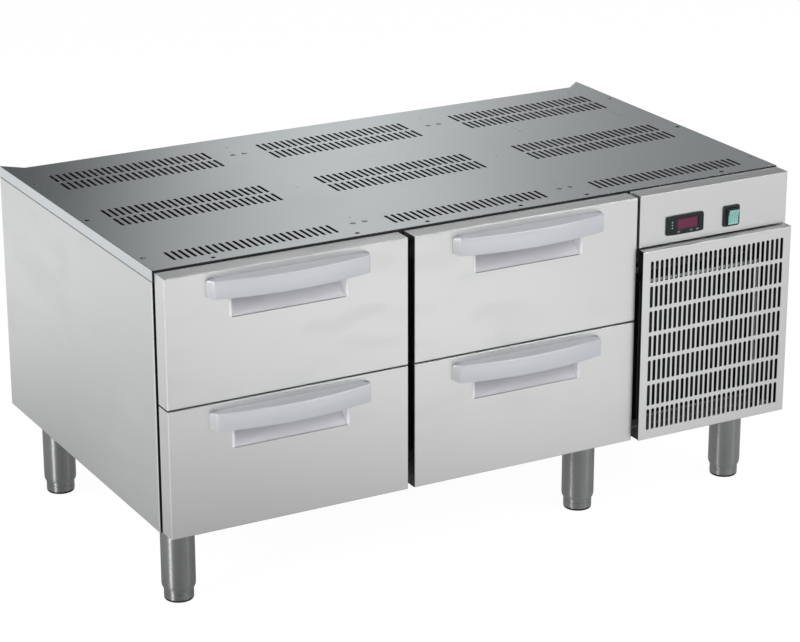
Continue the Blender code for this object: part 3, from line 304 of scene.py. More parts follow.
def makeGroup(name, given, results):
    # A shader node group with its named sockets. An input without a value is a vector and one with four
    # parts a colour; among the outputs, only Colour is a colour
    tree = bpy.data.node_groups.new(name, "ShaderNodeTree")
    for label, value in given.items():
        kind = "Vector" if value is None else "Float" if isinstance(value, float) else "Color"
        socket = tree.interface.new_socket(label, in_out="INPUT", socket_type="NodeSocket" + kind)
        if value is not None:
            socket.default_value = value
    for label in results:
        kind = "Color" if label == "Colour" else "Float"
        tree.interface.new_socket(label, in_out="OUTPUT", socket_type="NodeSocket" + kind)
    return tree, addNode(tree, "NodeGroupInput").outputs, addNode(tree, "NodeGroupOutput").inputs


def addNoise(vector, scale, detail, roughness):
    # Soft random values near 0.5
    sockets = {"Vector": vector, "Scale": scale, "Detail": detail, "Roughness": roughness}
    return addNode(vector.id_data, "ShaderNodeTexNoise", sockets).outputs["Fac"]


def makeSheetGrain(name, stretch, look=sheetLook):
    # Rolled and polished sheet: fine drawn lines, slow clouds in the polish and faint wipe marks.
    # Colour times one plus lines and clouds; roughness plus lines, clouds and wipes
    tree, given, result = makeGroup(
        name, {"Place": None, "Colour": (0.7, 0.7, 0.7, 1.0), "Roughness": 0.3, "Line contrast": 0.06,
               "Cloud contrast": 0.08, "Wipe contrast": 0.06}, ("Colour", "Roughness", "Height"))
    height = addNoise(addVector("MULTIPLY", given["Place"], stretch), *look["lines"])
    lines = minus(height, 0.5)
    clouds = minus(addNoise(given["Place"], *look["clouds"]), 0.5)
    wipes = addNoise(addVector("MULTIPLY", given["Place"], look["wipeStretch"]), *look["wipes"])
    wipes = times(addRange(wipes, *look["wipeRange"], 0.0, 1.0), given["Wipe contrast"])
    tone = plus(times(lines, given["Line contrast"]), times(clouds, given["Cloud contrast"]))
    feed(result["Colour"], addVector("SCALE", given["Colour"], plus(tone, 1.0)))
    scratch = times(lines, times(given["Line contrast"], look["lineRoughness"]))
    rough = plus(plus(given["Roughness"], scratch), times(clouds, look["cloudRoughness"]))
    feed(result["Roughness"], plus(rough, wipes))
    feed(result["Height"], height)
    return tree


def makeMouldGrain(look):
    # Moulded plastic or rubber: a fine spark-eroded texture, and a little unevenness in its tone.
    # Colour times one plus clouds; roughness plus grain and clouds
    tree, given, result = makeGroup(
        "mouldGrain", {"Place": None, "Colour": (0.5, 0.5, 0.5, 1.0), "Roughness": 0.4, "Grain size": 900.0,
                       "Tone contrast": 0.06}, ("Colour", "Roughness", "Height"))
    grain = addNoise(given["Place"], given["Grain size"], *look["grain"])
    clouds = minus(addNoise(given["Place"], *look["clouds"]), 0.5)
    tone = plus(times(clouds, given["Tone contrast"]), 1.0)
    feed(result["Colour"], addVector("SCALE", given["Colour"], tone))
    spread = times(minus(grain, 0.5), look["grainRoughness"])
    rough = plus(given["Roughness"], spread)
    feed(result["Roughness"], plus(rough, times(clouds, look["cloudRoughness"])))
    feed(result["Height"], grain)
    return tree


def makeEdgeWearAndSheen(look):
    # Lighter where a surface turns over an edge, as wear and a painted highlight, and darker where it turns in, as
    # dirt and painted shade
    tree, given, result = makeGroup(
        "edgeWearAndSheen", {"Colour": (0.5, 0.5, 0.5, 1.0), "Edge colour": (0.8, 0.8, 0.8, 1.0), "Edge share": 0.4,
                     "Hollow share": 0.3}, ("Colour",))
    point = addNode(tree, "ShaderNodeNewGeometry").outputs["Pointiness"]
    edge = times(addRange(point, *look["edge"], 0.0, 1.0), given["Edge share"])
    hollow = times(addRange(point, *look["hollow"], 0.0, 1.0), given["Hollow share"])
    lighter = addMix("RGBA", edge, given["Colour"], given["Edge colour"])
    feed(result["Colour"], addMix("RGBA", hollow, lighter, look["dirt"]))
    return tree


def makeCutLines(look):
    # The dashed outline of a knock-out: where the distance to a rectangle is near nought and the
    # place along its side falls on a dash. Sides along y get a painted shade line, sides along x a painted highlight
    tree, given, result = makeGroup("cutLines", {"Colour": (0.5, 0.5, 0.5, 1.0)}, ("Colour",))
    place = addSplit(addNode(tree, "ShaderNodeTexCoord").outputs["Object"])
    beyond, dash, lines = [], [], []
    for part, middle, half in zip(place, look["middle"], look["half"]):
        beyond.append(minus(apart(minus(part, middle)), half))
        wave = calculate("PINGPONG", minus(part, middle), look["pitch"] / 2)
        dash.append(above(wave, look["pitch"] * look["gap"]))
    for side in range(2):
        near = below(apart(beyond[side]), look["width"])
        lines.append(times(times(near, below(beyond[1 - side], 0.0)), dash[1 - side]))
    colour = given["Colour"]
    # Dark dashes are painted shade in the cut, light dashes a painted highlight on its edge
    for line, (share, tone) in zip(lines, (look["dark"], look["light"])):
        colour = addMix("RGBA", times(line, share), colour, tone)
    feed(result["Colour"], colour)
    return tree


def makePaintedShadeSides(look):
    # Painted shade: sides that face a neighbour and the cut walls of slots are drawn black: a face whose
    # normal lies along x within the base's width; under a flat top, what lies between two heights inside a
    # margin, and its front rim; a seam below a height; a panel's front return; and faces that look inwards
    tree, given, result = makeGroup(
        "paintedShadeSides", {"Colour": (0.5, 0.5, 0.5, 1.0), "Metallic": 1.0, "Low": -1.0, "High": -1.0, "Seam": -1.0,
                        "Return": 0.0, "Sides": 1.0}, ("Colour", "Metallic"))
    normalX, normalY, _ = addSplit(addNode(tree, "ShaderNodeNewGeometry").outputs["True Normal"])
    x, y, z = addSplit(addNode(tree, "ShaderNodeTexCoord").outputs["Object"])
    middle = below(apart(x), look["halfWidth"])
    beside = times(times(above(apart(normalX), look["turned"]), middle), given["Sides"])
    between = times(above(z, given["Low"]), below(z, given["High"]))
    within = times(between, times(middle, above(y, look["plateFront"])))
    rim = times(times(below(y, look["rimFront"]), below(z, look["rimTop"])), above(given["High"], 0.0))
    seam = below(z, given["Seam"])
    tucked = times(below(normalY, -look["turned"]), below(apart(x), look["returnHalf"]))
    inward = below(times(normalX, x), look["inward"])
    dark = larger(beside, within)
    for part in (rim, seam, times(tucked, given["Return"]), inward):
        dark = larger(dark, part)
    tone = look["tone"]
    feed(result["Colour"], addMix("RGBA", dark, given["Colour"], (tone, tone, tone * look["toneBlue"], 1.0)))
    feed(result["Metallic"], times(minus(1.0, dark), given["Metallic"]))
    return tree


sheetGrain = makeSheetGrain("sheetGrain", (5.0, 620.0, 620.0))
turnedGrain = makeSheetGrain("turnedGrain", (16.0, 16.0, 900.0))
mouldGrain = makeMouldGrain(mouldLook)
edgeWearAndSheen = makeEdgeWearAndSheen(edgeWearAndSheenLook)
paintedShadeSides = makePaintedShadeSides(shadow)
cutLines = makeCutLines(cutOut)


def placeGroup(tree, group, values):
    # A node that holds a group, with its own values
    return addNode(tree, "ShaderNodeGroup", values, node_tree=group).outputs


def makeFinish(name, group, colour, roughness, metallic, grainValues, turn=(0, 0, 0), bump=0.1, depth=0.0002,
               worn=None, coat=0.0, coatRoughness=0.08, drawn=0.0, shaded=None, marked=None, gloss=0.5):
    # Grain group on turned Object coordinates, then worn edges with painted highlights and shade, then the Principled
    # shader
    made = bpy.data.materials.new(name)
    made.use_nodes = True
    tree = made.node_tree
    shader = tree.nodes["Principled BSDF"].inputs
    shader["Metallic"].default_value = metallic
    shader["Specular IOR Level"].default_value = gloss
    if coat:
        shader["Coat Weight"].default_value = coat
        shader["Coat Roughness"].default_value = coatRoughness
    if drawn:
        # A tube polished round and round spreads its highlights up and down, a quarter turn from its tangent
        shader["Anisotropic"].default_value = drawn
        shader["Anisotropic Rotation"].default_value = 0.25  # a quarter turn
        feed(shader["Tangent"], addNode(tree, "ShaderNodeTangent", direction_type="RADIAL", axis="Z").outputs[0])
    place = addNode(tree, "ShaderNodeTexCoord").outputs["Object"]
    radians = [math.radians(angle) for angle in turn]
    turned = addNode(tree, "ShaderNodeMapping", {"Vector": place, "Rotation": radians}).outputs[0]
    grain = placeGroup(tree, group, {"Place": turned, "Colour": (*colour, 1.0), "Roughness": roughness,
                                     **grainValues})
    shown = grain["Colour"]
    if worn:
        shown = placeGroup(tree, edgeWearAndSheen, {"Colour": shown, "Edge colour": (*worn[0], 1.0), "Edge share": worn[1],
                                            "Hollow share": worn[2]})["Colour"]
    if marked:
        shown = placeGroup(tree, marked, {"Colour": shown})["Colour"]
    if shaded:
        # Painted shade: black to the eye, but not to their neighbours' reflections, which keep their light
        sides = placeGroup(tree, paintedShadeSides, {"Colour": shown, "Metallic": metallic, **shaded})
        seen = addNode(tree, "ShaderNodeLightPath").outputs["Is Camera Ray"]
        shown = addMix("RGBA", seen, shown, sides["Colour"])
        feed(shader["Metallic"], addMix("FLOAT", seen, metallic, sides["Metallic"]))
    feed(shader["Base Color"], shown)
    feed(shader["Roughness"], grain["Roughness"])
    sockets = {"Strength": bump, "Distance": depth, "Height": grain["Height"]}
    feed(shader["Normal"], addNode(tree, "ShaderNodeBump", sockets).outputs[0])
    return made


steelWearAndSheen = ((0.86, 0.87, 0.88), 0.35, 0.25)  # edge colour, edge share and hollow share


def sheet(colour, roughness, lines, clouds, wipes=0.06, metallic=1.0, group=sheetGrain, worn=steelWearAndSheen, **more):
    # The values of a finish of sheet metal
    contrasts = {"Line contrast": lines, "Cloud contrast": clouds, "Wipe contrast": wipes}
    return (group, colour, roughness, metallic, contrasts), {"worn": worn, **more}


def mould(colour, roughness, grain, tone=0.06, metallic=0.0, **more):
    # The values of a moulded finish
    return (mouldGrain, colour, roughness, metallic, {"Grain size": grain, "Tone contrast": tone}), more


finishValues = {  # sheet: lines, clouds, wipes; mould: grain's fineness, tone
    "satinSheet": sheet((0.80, 0.80, 0.795), 0.33, 0.05, 0.03, 0.02, bump=0.05),
    "plateSheet": sheet((0.675, 0.725, 0.742), 0.27, 0.003, 0.012, 0.004, bump=0.0, worn=None,
                        shaded={"Low": 0.5970, "High": 0.59998, "Seam": 0.5812}, marked=cutLines),
    "linerSheet": sheet((0.74, 0.75, 0.76), 0.36, 0.10, 0.10, turn=(0, 0, 90), bump=0.08),
    "zincSheet": sheet((0.60, 0.61, 0.62), 0.44, 0.04, 0.25, bump=0.04),
    "tubeSteel": sheet((0.41, 0.415, 0.42), 0.42, 0.03, 0.05, 0.03, group=turnedGrain, worn=None, bump=0.012,
                       drawn=0.9),
    # The handle bar's lighter edges are a painted highlight, its darker creases dirt and painted shade
    "silverPlastic": mould((0.585, 0.60, 0.635), 0.32, 1600.0, metallic=0.35, bump=0.06,
                           worn=((0.95, 0.95, 0.98), 0.24, 0.9)),
    # A much lighter copy of the handle's plastic for the scoop: painted light in its shaded hollow
    "litCupPlastic": mould((0.86, 0.86, 0.89), 0.36, 1600.0, metallic=0.15, bump=0.06),
    "satinFront": sheet((0.80, 0.81, 0.80), 0.34, 0.035, 0.05, bump=0.04, shaded={"Return": 0.0}),
    # Darker copies of the fronts' steel: painted shade on the control panel and on the side panels
    "satinControl": sheet((0.775, 0.78, 0.775), 0.34, 0.035, 0.05, bump=0.04, shaded={"Sides": 0.0}),
    "satinSide": sheet((0.745, 0.76, 0.755), 0.34, 0.035, 0.05, turn=(0, 0, 90), bump=0.04, shaded={"Return": 1.0}),
    "screwSteel": sheet((0.58, 0.59, 0.60), 0.26, 0.1, 0.2, bump=0.05),
    "soleRubber": mould((0.016, 0.016, 0.017), 0.55, 900.0, 0.4, worn=((0.06, 0.06, 0.06), 0.4, 0.2)),
    "gasketRubber": mould((0.022, 0.022, 0.024), 0.62, 1200.0, 0.4, worn=((0.09, 0.09, 0.09), 0.4, 0.3)),
    "blackPlastic": mould((0.011, 0.018, 0.018), 0.30, 1800.0, bump=0.05, gloss=0.25,
                          worn=((0.08, 0.09, 0.09), 0.3, 0.2)),
    "displayGlass": mould((0.13, 0.010, 0.050), 0.22, 420.0, 0.8, bump=0.02, coat=0.3, gloss=0.3),
    "paleMark": mould((0.42, 0.47, 0.47), 0.5, 2400.0, 0.3, bump=0.02),
    "keyPlastic": mould((0.024, 0.032, 0.033), 0.38, 1800.0, bump=0.05, worn=((0.16, 0.17, 0.17), 0.5, 0.2)),
    # The lens's lighter ridges are a painted highlight, the dark valleys between its flutes painted shade
    "rockerPlastic": mould((0.24, 0.52, 0.48), 0.14, 700.0, 0.3, bump=0.04, coat=0.4,
                           worn=((0.45, 0.74, 0.70), 0.4, 0.9)),
    # Black enamel; on the front frame and the unit tray it is painted shade
    "blackEnamelAndShade": mould((0.016, 0.016, 0.017), 0.28, 240.0, 0.3, bump=0.12, coat=0.3,
                         worn=((0.10, 0.10, 0.10), 0.3, 0.2)),
    # Near-black fins: painted shade seen through the service panel's slots
    "finMetal": sheet((0.030, 0.031, 0.033), 0.5, 0.9, 0.3, metallic=0.3, worn=None, turn=(0, 90, 0), bump=0.3),
    "fanPlastic": mould((0.030, 0.031, 0.033), 0.45, 900.0, 0.2, bump=0.08, worn=((0.12, 0.12, 0.12), 0.4, 0.2)),
}
finishes = {name: makeFinish(name, *main, **more) for name, (main, more) in finishValues.items()}
slotFinish = {
    "steel": "satinSheet", "plate_steel": "plateSheet", "liner": "linerSheet", "zinc": "zincSheet",
    "polished": "tubeSteel", "handle": "silverPlastic", "gasket": "gasketRubber", "black_plastic": "blackPlastic",
    "key": "keyPlastic", "rocker": "rockerPlastic", "enamel": "blackEnamelAndShade", "fins": "finMetal", "fan": "fanPlastic",
}
# Nodes drawn darker than their slot's usual finish: the front frame and the unit tray black as painted shade, where
# they lie in shadow; the rocker because a lens of its own covers it
darkNodes = {"front_frame": "blackEnamelAndShade", "unit_tray": "blackEnamelAndShade", "power_rocker": "blackPlastic"}
# Painted shade on the top of the cold box, seen through the plate's slots: the height it starts at, and its colour
ceiling = {"shadeAbove": 0.566, "skin": (0.012, 0.012, 0.013, 1.0)}


def makeCeilingFinish(values):
    # The lining's steel inside the cold box, and above a height a near-black, not metallic skin: painted shade under
    # the top plate
    made = finishes["linerSheet"].copy()
    made.name = "linerAndPaintedShade"
    tree = made.node_tree
    shader = tree.nodes["Principled BSDF"].inputs
    height = addSplit(addNode(tree, "ShaderNodeTexCoord").outputs["Object"])["Z"]
    outer = above(height, values["shadeAbove"])
    source = shader["Base Color"].links[0].from_socket
    feed(shader["Base Color"], addMix("RGBA", outer, source, values["skin"]))
    feed(shader["Metallic"], minus(1.0, outer))
    return made


def dressNodes():
    # Each carried-over node takes the finish of the slot that the record gives it
    ceilingFinish = makeCeilingFinish(ceiling)
    for name, node in nodes.items():
        slot = node.data.materials[0].name.split(".")[0] if node.data.materials else "steel"
        finish = ceilingFinish if name.startswith("cold_box") else finishes[slotFinish.get(slot, "satinSheet")]
        if name in darkNodes:
            finish = finishes[darkNodes[name]]
        node.data.materials.clear()
        node.data.materials.append(finish)


dressNodes()
print("stage: finishes ready")


# Surfaces: every piece is a set of patches, each a grid of points (rows, columns, 3)

facings = {  # directions of u, v and depth
    "front": ((1, 0, 0), (0, 0, 1), (0, 1, 0)),
    "back": ((1, 0, 0), (0, 0, 1), (0, -1, 0)),
    "up": ((1, 0, 0), (0, 1, 0), (0, 0, -1)),
    "down": ((1, 0, 0), (0, 1, 0), (0, 0, 1)),
    "left": ((0, 1, 0), (0, 0, 1), (1, 0, 0)),
    "right": ((0, 1, 0), (0, 0, 1), (-1, 0, 0)),
}
weld = {"together": 1e-5, "shortest": 1e-6}
shadeStrip = 0.0004  # a narrow strip along a face's border keeps its shading flat beside a bend


def columns(*parts):
    # Points from their parts: arrays with one or more columns, or single numbers
    count = max(len(part) for part in parts if np.ndim(part))
    return np.column_stack([part if np.ndim(part) else np.full(count, part) for part in parts])


def patch(points, wrap=True, keep=None):
    # Quads between neighbouring points of a grid, its last column joined to its first when it wraps
    rows, count = points.shape[:2]
    row, column = np.meshgrid(np.arange(rows - 1), np.arange(count if wrap else count - 1), indexing="ij")
    after = (column + 1) % count
    quads = np.stack([row * count + column, row * count + after, (row + 1) * count + after,
                      (row + 1) * count + column], -1).reshape(-1, 4)
    if keep is not None:
        quads = quads[keep.ravel()]
    return points.reshape(-1, 3), quads


def flatPatch(atU, atV, depth, keep=None):
    # A flat grid at one depth
    return patch(np.stack([atU, atV, np.full_like(atV, depth)], -1), False, keep)


def labelOf(name):
    # A node's name as part of a piece's name
    return "".join(part.capitalize() for part in name.split("_"))


def makePiece(name, patches, facing, at, finish, body, stands=(), sharp=32):
    # Takes patches from their own (u, v, depth) space into the room, joins them into one welded mesh
    # with its normals outwards, and puts it on its body
    starts = np.cumsum([0] + [len(points) for points, quads in patches])
    points = np.concatenate([points for points, quads in patches]) @ np.array(facings[facing], float) + at
    quads = np.concatenate([quads + start for (_, quads), start in zip(patches, starts)])
    mesh = bpy.data.meshes.new(name)
    mesh.vertices.add(len(points))
    mesh.vertices.foreach_set("co", points.astype(np.float32).ravel())
    mesh.loops.add(quads.size)
    mesh.loops.foreach_set("vertex_index", quads.astype(np.int32).ravel())
    mesh.polygons.add(len(quads))
    mesh.polygons.foreach_set("loop_start", np.arange(0, quads.size, 4, dtype=np.int32))
    mesh.update(calc_edges=True)
    bm = bmesh.new()
    bm.from_mesh(mesh)
    bmesh.ops.remove_doubles(bm, verts=bm.verts, dist=weld["together"])
    bmesh.ops.dissolve_degenerate(bm, edges=bm.edges, dist=weld["shortest"])
    bmesh.ops.recalc_face_normals(bm, faces=bm.faces)
    bm.to_mesh(mesh)
    bm.free()
    mesh.polygons.foreach_set("use_smooth", np.ones(len(mesh.polygons), bool))
    mesh.set_sharp_from_angle(angle=math.radians(sharp))
    mesh.materials.append(finishes[finish])
    piece = addToScene(name, mesh)
    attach(piece, body)
    if stands:
        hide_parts(*stands)


def boxPath(linesU, linesV):
    # The border of a grid of lines, anticlockwise
    return np.concatenate([columns(linesU[:-1], linesV[0]), columns(linesU[-1], linesV[:-1]),
                           columns(linesU[:0:-1], linesV[-1]), columns(linesU[0], linesV[:0:-1])])


def normalised(vectors):
    # Vectors divided by their length
    return vectors / np.linalg.norm(vectors, axis=1, keepdims=True)


def outwards(path):
    # The mitred outward direction at every point of a closed path that runs anticlockwise: the sum of
    # both sides' normals over one plus their product
    steps = (path - np.roll(path, 1, 0), np.roll(path, -1, 0) - path)
    sides = [np.stack([step[:, 1], -step[:, 0]], 1) / np.linalg.norm(step, axis=1, keepdims=True) for step in steps]
    return (sides[0] + sides[1]) / (1 + (sides[0] * sides[1]).sum(1, keepdims=True))


def hole(at, half, radius, margin, levels, floor=False):
    # A rounded rectangle cut in a face, its block of the grid a margin larger, with or without a floor
    return {"at": at, "half": half, "radius": radius, "reach": tuple(h + m for h, m in zip(half, margin)),
            "levels": levels, "floor": floor}


def lip(thickness, grow=0.0004, turn=0.3, sink=0.25, strip=0.0003):
    # A narrow flat strip, a softly rounded lip, then straight down through the sheet
    return [(grow + strip, 0.0), (grow, 0.0), (grow * turn, grow * sink), (0.0, grow), (0.0, thickness)]


def faceLines(low, high, holes, axis, spots):
    # Sorted lines through the spots and, for each hole, its straight sides' ends, its reach and halfway
    wanted = list(spots)
    for item in holes:
        straight = item["half"][axis] - item["radius"]
        reach = item["reach"][axis]
        spots = (straight, (straight + reach) / 2, reach)
        wanted += [item["at"][axis] + side * spot for side in (-1, 1) for spot in spots]
    wanted += [low + shadeStrip, high - shadeStrip]
    return np.unique(np.round(np.array([low, high] + [spot for spot in wanted if low < spot < high]), 5))


def sheetFace(low, high, holes, thickness, spotsU=(), spotsV=(), closed=False):
    # A flat face on a grid of lines, with a twin at the sheet's thickness. Every hole owns a
    # block of the grid: a point of the block's border goes to the nearest point of the hole's
    # outline, a rectangle with rounded corners, and rings follow the levels (growth, depth)
    lines = [faceLines(low[axis], high[axis], holes, axis, spots) for axis, spots in enumerate((spotsU, spotsV))]
    keep = np.ones((len(lines[0]) - 1, len(lines[1]) - 1), bool)
    patches = []
    for item in holes:
        centre, half, radius = np.array(item["at"]), np.array(item["half"]), item["radius"]
        first, last = [[int(np.abs(line - (spot + side * reach)).argmin())
                        for line, spot, reach in zip(lines, centre, item["reach"])] for side in (-1, 1)]
        keep[first[0]:last[0], first[1]:last[1]] = False
        border = boxPath(*[line[start:end + 1] for line, start, end in zip(lines, first, last)]) - centre
        spine = np.clip(border, -(half - radius), half - radius)
        away = normalised(border - spine)
        rings = [(border, 0.0)] + [(spine + away * (radius + grow), depth) for grow, depth in item["levels"]]
        rings.append((spine * 0.0, item["levels"][-1][1]) if item["floor"] else (border, thickness))
        patches.append(patch(np.stack([columns(flat + centre, depth) for flat, depth in rings])))
    atU, atV = np.meshgrid(*lines, indexing="ij")
    for depth, kept in ((0.0, keep), (thickness, np.ones_like(keep) if closed else keep)):
        patches.append(flatPatch(atU, atV, depth, kept))
    return patches, *lines


def rimPatch(path, profile, limit=None):
    # A profile of (offset, depth) carried along a path, stopped at each point's own depth limit
    offsets, depths = np.array(profile, float).T
    flat = path[None] + outwards(path)[None] * offsets[:, None, None]
    deep = np.repeat(depths[:, None], len(path), 1)
    if limit is not None:
        deep = np.minimum(deep, limit[None])
    return patch(np.concatenate([flat, deep[..., None]], -1))


def quarterRound(radius, steps):
    # (offset, depth) along a quarter of a circle, from the face to the side
    angles = np.linspace(0, np.pi / 2, steps + 1)
    return [(radius * math.sin(angle), radius * (1 - math.cos(angle))) for angle in angles]


def foldProfile(radius, reach, thickness, hemShare=0.25, strip=0.0003):
    # Quarter round, the return down to its hem, and back up inside to the sheet's underside
    hem = thickness * hemShare
    return quarterRound(radius, 4) + [
        (radius, radius + strip), (radius, reach - hem), (radius - hem, reach), (radius - thickness + hem, reach),
        (radius - thickness, reach - hem), (radius - thickness, thickness), (0.0, thickness)]


def makeFolded(name, node, facing, finish, values, holes=(), spotsU=(), spotsV=(), limit=None):
    # A rectangular sheet with folded returns that stands for a node: its outer corners are those of
    # the node's box, and its face is that side of the box
    low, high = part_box(node)
    axes = (1, 2) if facing in ("left", "right") else (0, 2)
    radius, thickness = values["bend"], values["sheet"]
    patches, *lines = sheetFace([low[axis] + radius for axis in axes], [high[axis] - radius for axis in axes], holes,
                                thickness, spotsU, spotsV)
    path = boxPath(*lines)
    patches.append(rimPatch(path, foldProfile(radius, values["reach"], thickness), limit and limit(path)))
    at = {"front": (0, low[1], 0), "back": (0, high[1], 0), "left": (low[0], 0, 0), "right": (high[0], 0, 0)}[facing]
    makePiece(name, patches, facing, at, finish, "root", [node])


def turnedPatch(profile, sides=56):
    # A profile of (radius, depth) turned round the depth axis
    radii, depths = np.array(profile, float).T
    angle = np.linspace(0, 2 * np.pi, sides, endpoint=False)
    flat = radii[:, None, None] * np.stack([np.cos(angle), np.sin(angle)], -1)[None]
    return patch(np.concatenate([flat, np.repeat(depths[:, None], sides, 1)[..., None]], -1))


def makeScrews(name, facing, at, spots, values, sides=24, dome=((1.0, 0.2), (0.93, 0.65), (0.78, 1.0)),
               mouth=(1.12, 0.8)):
    # Domed heads with a six-sided socket: the socket's radius follows a hexagon round the axis
    angle = np.linspace(0, 2 * np.pi, sides, endpoint=False)
    hexagon = np.cos(np.pi / 6) / np.cos((angle % (np.pi / 3)) - np.pi / 6)
    radius, rise, socket, deep = (values[key] for key in ("radius", "rise", "socket", "deep"))
    # Rows of (radius, depth, hexagon or circle), from the root over the dome into the socket; the dome's
    # shares are of the radius and the rise, the mouth's of the socket and the rise
    rows = [(0.0, values["root"], 0), (radius, values["root"], 0)]
    rows += [(radius * share, -rise * height, 0) for share, height in dome]
    rows += [(socket * mouth[0], -rise, 1), (socket, -rise * mouth[1], 1), (socket, deep, 1), (0.0, deep, 1)]
    rings = []
    for size, depth, six in rows:
        shape = hexagon if six else np.ones_like(angle)
        rings.append(columns(size * shape * np.cos(angle), size * shape * np.sin(angle), depth))
    points, quads = patch(np.stack(rings))
    heads = [(points + np.array([u, v, values["sunk"]]), quads) for u, v in spots]
    makePiece(name, heads, facing, at, "screwSteel", "root")


# The slotted top plate, its screws and its small marks

topPlate = {
    "sheet": 0.002, "bend": 0.0011, "rim": 0.020, "ear": 0.035, "notch": 0.032, "earSteps": 5,
    "slot": (0.0042, 0.042), "slotEnd": 0.0017, "slotReach": (0.00605, 0.0252), "slotLip": (0.0009, 0.85),
    "groups": 3, "slotsPerRow": 25, "slotPitch": 0.0121, "rows": (0.0540, 0.2582, 0.3106, 0.4886, 0.5410),
    "screwHole": 0.0047, "screwReach": 0.0085, "screwRows": (0.064, 0.522),
    "screwColumns": (0.012, 0.389, 0.411, 0.789, 0.811, 1.188),
    "frontHoles": (0.112, 0.371, 0.502, 0.682, 0.813, 1.092), "frontHoleRow": 0.0144,
    "sideHoles": ((0.012, 0.292), (1.188, 0.292)),
    "frontHole": 0.0032, "frontReach": 0.0058, "frontLip": (0.0010, 0.85),
    "pinHoles": ((0.4, 0.572), (0.8, 0.572), (0.4, 0.292), (0.8, 0.292), (0.4, 0.095), (0.8, 0.095)),
    "pinHole": 0.0011, "pinReach": 0.003, "smallLip": (0.0003, 0.3),
    "screw": {"radius": 0.0044, "rise": 0.0009, "socket": 0.0018, "deep": 0.0012, "root": 0.0016, "sunk": 0.0010},
    "rib": {"at": (0.4, 0.8), "half": 0.022, "foot": 0.014, "drop": 0.0212, "below": 2e-5, "start": 0.012,
            "end": 0.618},
    "near": 1e-6,  # how far apart two grid lines may be and still count as one
}


def plateHoles(width, values):
    # Slots in groups of equal rows, then the round holes for screws, fixings and pins
    sheet, pitch, count = values["sheet"], values["slotPitch"], values["slotsPerRow"]
    half = [size / 2 for size in values["slot"]]
    margin = [reach - size for reach, size in zip(values["slotReach"], half)]
    holes = []
    for group in range(values["groups"]):
        first = width * (group + 0.5) / values["groups"] - pitch * (count - 1) / 2
        holes += [hole((first + index * pitch, row), half, values["slotEnd"], margin, lip(sheet, *values["slotLip"]))
                  for row in values["rows"] for index in range(count)]
    screws = [(column, row) for column in values["screwColumns"] for row in values["screwRows"]]
    fronts = [(column, values["frontHoleRow"]) for column in values["frontHoles"]] + list(values["sideHoles"])
    for places, size, reach, edge in ((screws, "screwHole", "screwReach", "smallLip"),
                                      (fronts, "frontHole", "frontReach", "frontLip"),
                                      (values["pinHoles"], "pinHole", "pinReach", "smallLip")):
        size, reach = values[size], values[reach]
        holes += [hole(place, (size, size), size, (reach - size,) * 2, lip(sheet, *values[edge])) for place in places]
    return holes, screws


def ribPatch(column, sheet, rib):
    # A hat-shaped profile carried along y, closed at both ends
    out, foot, drop = rib["half"], rib["foot"], rib["drop"]
    top = sheet + rib["below"]
    shape = np.array([(-out - foot, drop), (-out - foot, drop - sheet), (-out, drop - sheet), (-out, top), (out, top),
                      (out, drop - sheet), (out + foot, drop - sheet), (out + foot, drop), (out - sheet, drop),
                      (out - sheet, sheet * 2), (sheet - out, sheet * 2), (sheet - out, drop)])
    centre = np.broadcast_to(shape.mean(0), shape.shape)
    rows = ((centre, "start"), (shape, "start"), (shape, "end"), (centre, "end"))
    return patch(np.stack([columns(flat[:, 0] + column, rib[end], flat[:, 1]) for flat, end in rows]))


